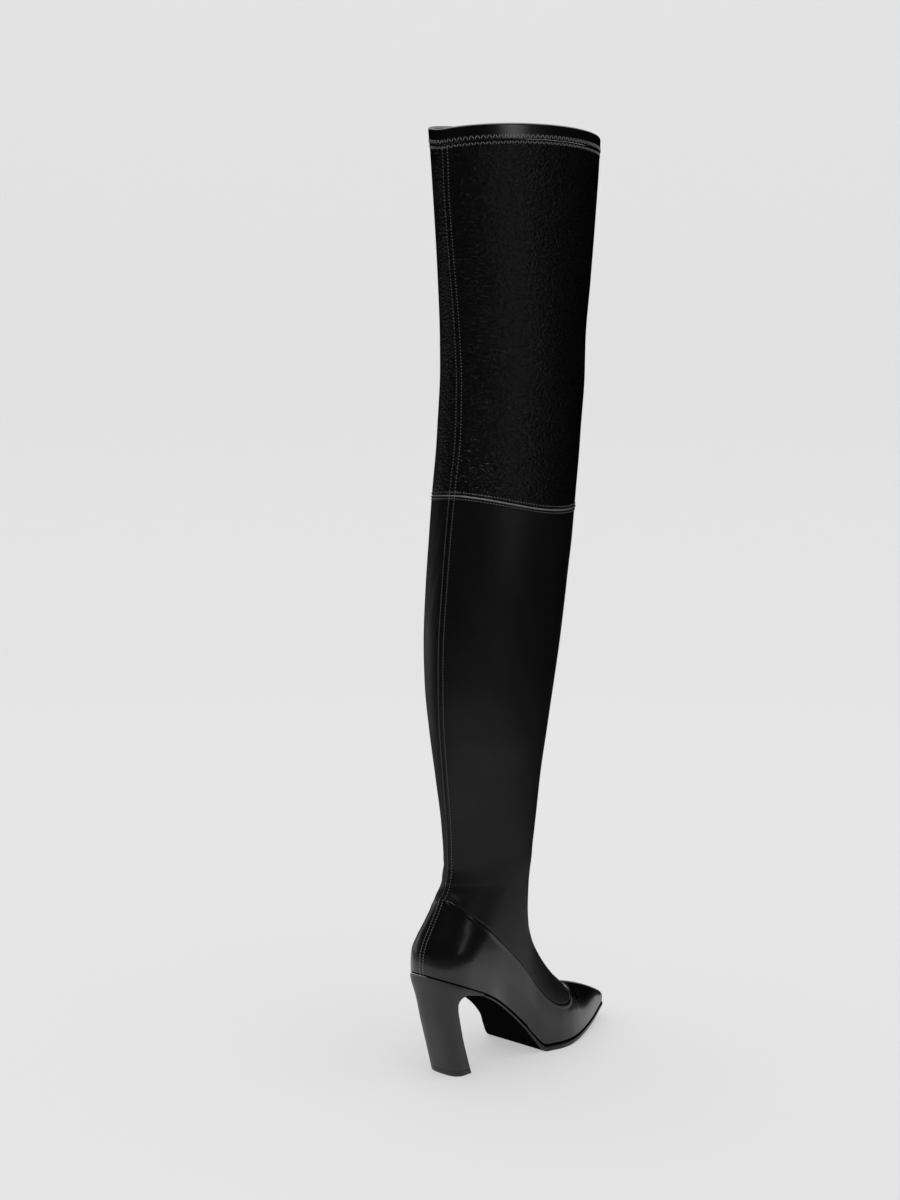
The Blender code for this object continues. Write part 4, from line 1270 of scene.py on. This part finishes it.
def seat_ring(drop_back, drop_front):
    """Section of the heel that follows the seat, dropped from it by a depth at each end."""
    x = HEEL_SEAT_REACH * HEEL_SHARES
    middle = BALL_WIDTH * plan_middle(x / FOOT_LENGTH)
    width = BALL_WIDTH * plan_half(x / FOOT_LENGTH) * rounding(x / SEAT_ROUND, SEAT_SQUARE)
    z = edge_height(x) - (drop_back + (drop_front - drop_back) * x / HEEL_SEAT_REACH)
    outer = np.stack([x, middle - width, z], axis=1)
    inner = np.stack([x, middle + width, z], axis=1)
    count = len(BREAST_PLACES)
    breast_y = middle[-1] + width[-1] * BREAST_PLACES
    breast = np.stack([np.full(count, x[-1]), breast_y, np.full(count, z[-1])], axis=1)
    return np.concatenate([outer, breast, inner[:0:-1], outer[:1]])


def heel_flat(ring):
    """Heel section drawn onto its middle line."""
    return ring * (1.0, 0.0, 1.0)


class BOOT_OT_heel(bpy.types.Operator):
    """Build the covered heel block"""

    bl_idname = "boot.heel"
    bl_label = "Heel"

    def execute(self, context):
        back, back_z, front, front_z, half, corner, square = columns_of(HEEL)
        floor = TOP_PIECE_THICKNESS + LEAST_GAP
        rise = HEEL_HEIGHT - floor
        widest = HEEL[-1][HEEL_HALF]
        rings = []
        for at in np.linspace(0, 1, HEEL_SECTIONS):
            width = HEEL_BASE_WIDTH / 2 * half(at)
            hollow = BREAST_HOLLOW * (widest - half(at)) / (widest - HEEL[0][HEEL_HALF])
            rings.append(heel_ring(
                (HEEL_BASE_SET * back(at), floor + rise * back_z(at)),
                (HEEL_SEAT_REACH * front(at), floor + rise * front_z(at)),
                width, width * corner(at), square(at), hollow))
        rings.append(seat_ring(GAP + SEAT_EDGE, GAP + HEEL_LIP_THICKNESS))
        rings.append(seat_ring(GAP, GAP))
        item = solid_from_rings("covered_heel", rings, heel_flat, "heel", HEEL_SHARP_ANGLE)
        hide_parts("heel_block")
        return {"FINISHED"}


class BOOT_OT_heel_lift(bpy.types.Operator):
    """Build the rubber lift under the heel"""

    bl_idname = "boot.heel_lift"
    bl_label = "Heel lift"

    def execute(self, context):
        first = HEEL[0]
        low = np.array([HEEL_BASE_SET, HEEL_BASE_SET + HEEL_BASE_DEPTH])
        high = np.array([HEEL_BASE_SET * first[1], HEEL_SEAT_REACH * first[3]])
        rings = []
        for inset, up in LIFT_EDGE:
            back, front = low + (high - low) * up
            half = HEEL_BASE_WIDTH / 2 - inset
            z = TOP_PIECE_THICKNESS * up
            rings.append(heel_ring(
                (back + inset, z), (front - inset, z), half, half * first[HEEL_CORNER],
                first[HEEL_SQUARE], BREAST_HOLLOW))
        lift = solid_from_rings("rubber_lift", rings, heel_flat, "rubber", HEEL_SHARP_ANGLE)
        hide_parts("heel_top_piece")
        return {"FINISHED"}


class BOOT_OT_insole(bpy.types.Operator):
    """Give the insole its lined leather"""

    bl_idname = "boot.insole"
    bl_label = "Insole"

    def execute(self, context):
        mesh = frame["nodes"]["insole"].data
        mesh.materials.clear()
        mesh.materials.append(FINISHES["insole"])
        return {"FINISHED"}


def even_places(points, normals, spacing):
    """Places, facings and headings at even spacing along a line."""
    lengths = lengths_along(points)
    count = max(2, int(lengths[-1] / spacing))
    at = (np.arange(count) + 0.5) * lengths[-1] / count
    heading = pick(at + 0.5, lengths, points) - pick(at - 0.5, lengths, points)
    return pick(at, lengths, points), pick(at, lengths, normals), heading


def sew(shape, line, sizes, slant=0.0, spacing=None, length=None):
    """Row of stitches along a line of points and normals, each a low bead; slant turns them by turns."""
    spacing = spacing or sizes.stitch_spacing / MM
    length = length or sizes.stitch_length / MM
    width = sizes.thread_width / MM
    for index, (place, facing, heading) in enumerate(zip(*even_places(*line, spacing))):
        up = Vector(facing).normalized()
        along = Vector(heading)
        along = (along - up * along.dot(up)).normalized()
        turn = math.radians(slant) * (1 if index % 2 else -1)
        front = along * math.cos(turn) + up.cross(along) * math.sin(turn)
        centre = Vector(world(place)) + up * width * BEAD_LIFT * MM
        sides = (front * length / 2 * MM, up.cross(front) * width / 2 * MM, up * width * BEAD_HEIGHT * MM)
        matrix = Matrix.Translation(centre) @ Matrix(sides).transposed().to_4x4()
        bmesh.ops.create_icosphere(shape, subdivisions=1, radius=1.0, matrix=matrix)


class BOOT_OT_stitching(bpy.types.Operator):
    """Sew the rows beside the seams and the zigzag rows at the collar"""

    bl_idname = "boot.stitching"
    bl_label = "Stitching"

    def execute(self, context):
        sizes = context.scene.boot_sizes
        offset = sizes.row_offset / MM
        shape = bmesh.new()
        for name in ("calf", "thigh"):
            for side in (-1, 1):
                sew(shape, SKINS[name].up_at(side * offset), sizes)
        for side in (-1, 1):
            row = SKINS["foot"].up_at(side * COUNTER_ROW)
            sew(shape, row, sizes, spacing=COUNTER_SPACING, length=COUNTER_STITCH)
        sew(shape, SKINS["thigh"].round_at(KNEE_THIGH_ROW, False), sizes)
        sew(shape, SKINS["calf"].round_at(KNEE_CALF_ROW, True), sizes)
        new_piece("seam_stitches", shape, (FINISHES["thread"],))
        shape = bmesh.new()
        for name, distance, from_top, slant, spacing, length in ZIGZAG_ROWS:
            sew(shape, SKINS[name].round_at(distance, from_top), sizes, slant, spacing, length)
        new_piece("collar_stitches", shape, (FINISHES["thread"],))
        return {"FINISHED"}


def add_light(name, place, target, width, height, power, spread):
    """Rectangular soft box that shows only as a sheen on the leather."""
    data = bpy.data.lights.new(name, "AREA")
    data.shape = "RECTANGLE"
    data.size = width
    data.size_y = height
    data.energy = power
    data.spread = math.radians(spread)
    item = bpy.data.objects.new(name, data)
    item.location = place
    away = Vector(target) - Vector(place)
    item.rotation_euler = away.to_track_quat("-Z", "Y").to_euler()
    item.visible_camera = False
    item.visible_diffuse = False
    bpy.context.scene.collection.objects.link(item)


def build_floor(colour):
    """Flat disc that the leather mirrors, and round it the sweep, which is kept out of reflections."""
    # Painted floor: dull, and lit from within by a share of its tone, so that it stays pale and even
    glow = [part * FLOOR_GLOW for part in colour]
    paint = [part * (1 - FLOOR_GLOW) for part in colour]
    pale = new_material("painted_studio_floor", paint, Roughness=0.9, Specular_IOR_Level=0.0,
                        Emission_Color=(*glow, 1.0), Emission_Strength=1.0)[0]
    shape = bmesh.new()
    bmesh.ops.create_circle(shape, cap_ends=True, segments=FLOOR_PARTS, radius=FLOOR_RADIUS)
    floor = new_object("studio_floor", shape, (pale,))
    points = [(FLOOR_RADIUS, 0.0), (SWEEP_START, 0.0)]
    for turn in np.linspace(0, np.pi / 2, SWEEP_PARTS + 1)[1:]:
        points.append((SWEEP_START + SWEEP_ROUND * math.sin(turn), SWEEP_ROUND * (1 - math.cos(turn))))
    points.append((SWEEP_START + SWEEP_ROUND, SWEEP_TOP))
    shape = bmesh.new()
    corners = [shape.verts.new((radius, 0.0, height)) for radius, height in points]
    edges = [shape.edges.new(pair) for pair in zip(corners, corners[1:])]
    bmesh.ops.spin(shape, geom=corners + edges, cent=(0, 0, 0), axis=(0, 0, 1), angle=2 * math.pi,
                   steps=FLOOR_PARTS, use_merge=True)
    sweep = new_object("studio_sweep", shape, (pale,))
    sweep.visible_glossy = False
    return floor, sweep


def add_camera():
    """Camera behind the boot and to its outer side, at about the height of the knee seam."""
    turn, tilt, roll = math.radians(CAMERA_TURN), math.radians(CAMERA_TILT), math.radians(CAMERA_ROLL)
    right = Vector((math.cos(turn), -math.sin(turn), 0))
    ahead = Vector((math.sin(turn), math.cos(turn), 0))
    up = Vector((0, 0, 1))
    place = right * CAMERA_RIGHT - ahead * CAMERA_BACK + up * CAMERA_UP - Vector((ORIGIN_X, 0, 0))
    look = ahead * math.cos(tilt) - up * math.sin(tilt)
    top = up * math.cos(tilt) + ahead * math.sin(tilt)
    across = right * math.cos(roll) + top * math.sin(roll)
    top = top * math.cos(roll) - right * math.sin(roll)
    data = bpy.data.cameras.new("boot_camera")
    data.sensor_width = SENSOR_WIDTH
    data.lens = FOCAL_PIXELS / PICTURE_HEIGHT * SENSOR_WIDTH
    camera = bpy.data.objects.new("boot_camera", data)
    facing = Matrix((across, top, -look)).transposed().to_4x4()
    camera.matrix_world = Matrix.Translation(place * MM) @ facing
    bpy.context.scene.collection.objects.link(camera)
    return camera


class BOOT_OT_studio(bpy.types.Operator):
    """Set the pale floor, the soft light and the camera"""

    bl_idname = "boot.studio"
    bl_label = "Studio"

    def execute(self, context):
        scene = context.scene
        scene.view_settings.view_transform = "Standard"
        floor, sweep = build_floor(scene.boot_colours.floor)
        scene.world = bpy.data.worlds.new("studio_light")
        scene.world.use_nodes = True
        background = scene.world.node_tree.nodes["Background"]
        background.inputs["Color"].default_value = (1.0, 1.0, 1.0, 1.0)
        background.inputs["Strength"].default_value = SKY_STRENGTH
        scene.world.cycles_visibility.glossy = False
        for soft_box in SOFT_BOXES:
            add_light(*soft_box)
        scene.camera = add_camera()
        return {"FINISHED"}


OPERATORS = (
    BOOT_OT_finishes, BOOT_OT_foot_upper, BOOT_OT_lower_shaft, BOOT_OT_upper_shaft, BOOT_OT_collar_band,
    BOOT_OT_outsole, BOOT_OT_heel, BOOT_OT_heel_lift, BOOT_OT_insole, BOOT_OT_stitching, BOOT_OT_studio,
)


class BOOT_PT_pieces(bpy.types.Panel):
    """List of the boot's pieces"""

    bl_idname = "BOOT_PT_pieces"
    bl_label = "Thigh High Boot"
    bl_space_type = "VIEW_3D"
    bl_region_type = "UI"
    bl_category = "Boot"

    def draw(self, context):
        for group in (context.scene.boot_sizes, context.scene.boot_colours):
            for name in group.__annotations__:
                self.layout.prop(group, name)
        for operator in OPERATORS:
            self.layout.operator(operator.bl_idname)


CLASSES = (BootSizes, BootColours, *OPERATORS, BOOT_PT_pieces)


def register():
    """Add the boot's classes, and its sizes and colours to the scene."""
    for item in CLASSES:
        bpy.utils.register_class(item)
    bpy.types.Scene.boot_sizes = bpy.props.PointerProperty(type=BootSizes)
    bpy.types.Scene.boot_colours = bpy.props.PointerProperty(type=BootColours)


def unregister():
    """Take them away again."""
    del bpy.types.Scene.boot_sizes
    del bpy.types.Scene.boot_colours
    for item in reversed(CLASSES):
        bpy.utils.unregister_class(item)


def main():
    """Build the boot and its studio."""
    register()
    for operator in OPERATORS:
        getattr(bpy.ops.boot, operator.bl_idname.split(".")[1])()


if __name__ == "__main__":
    main()
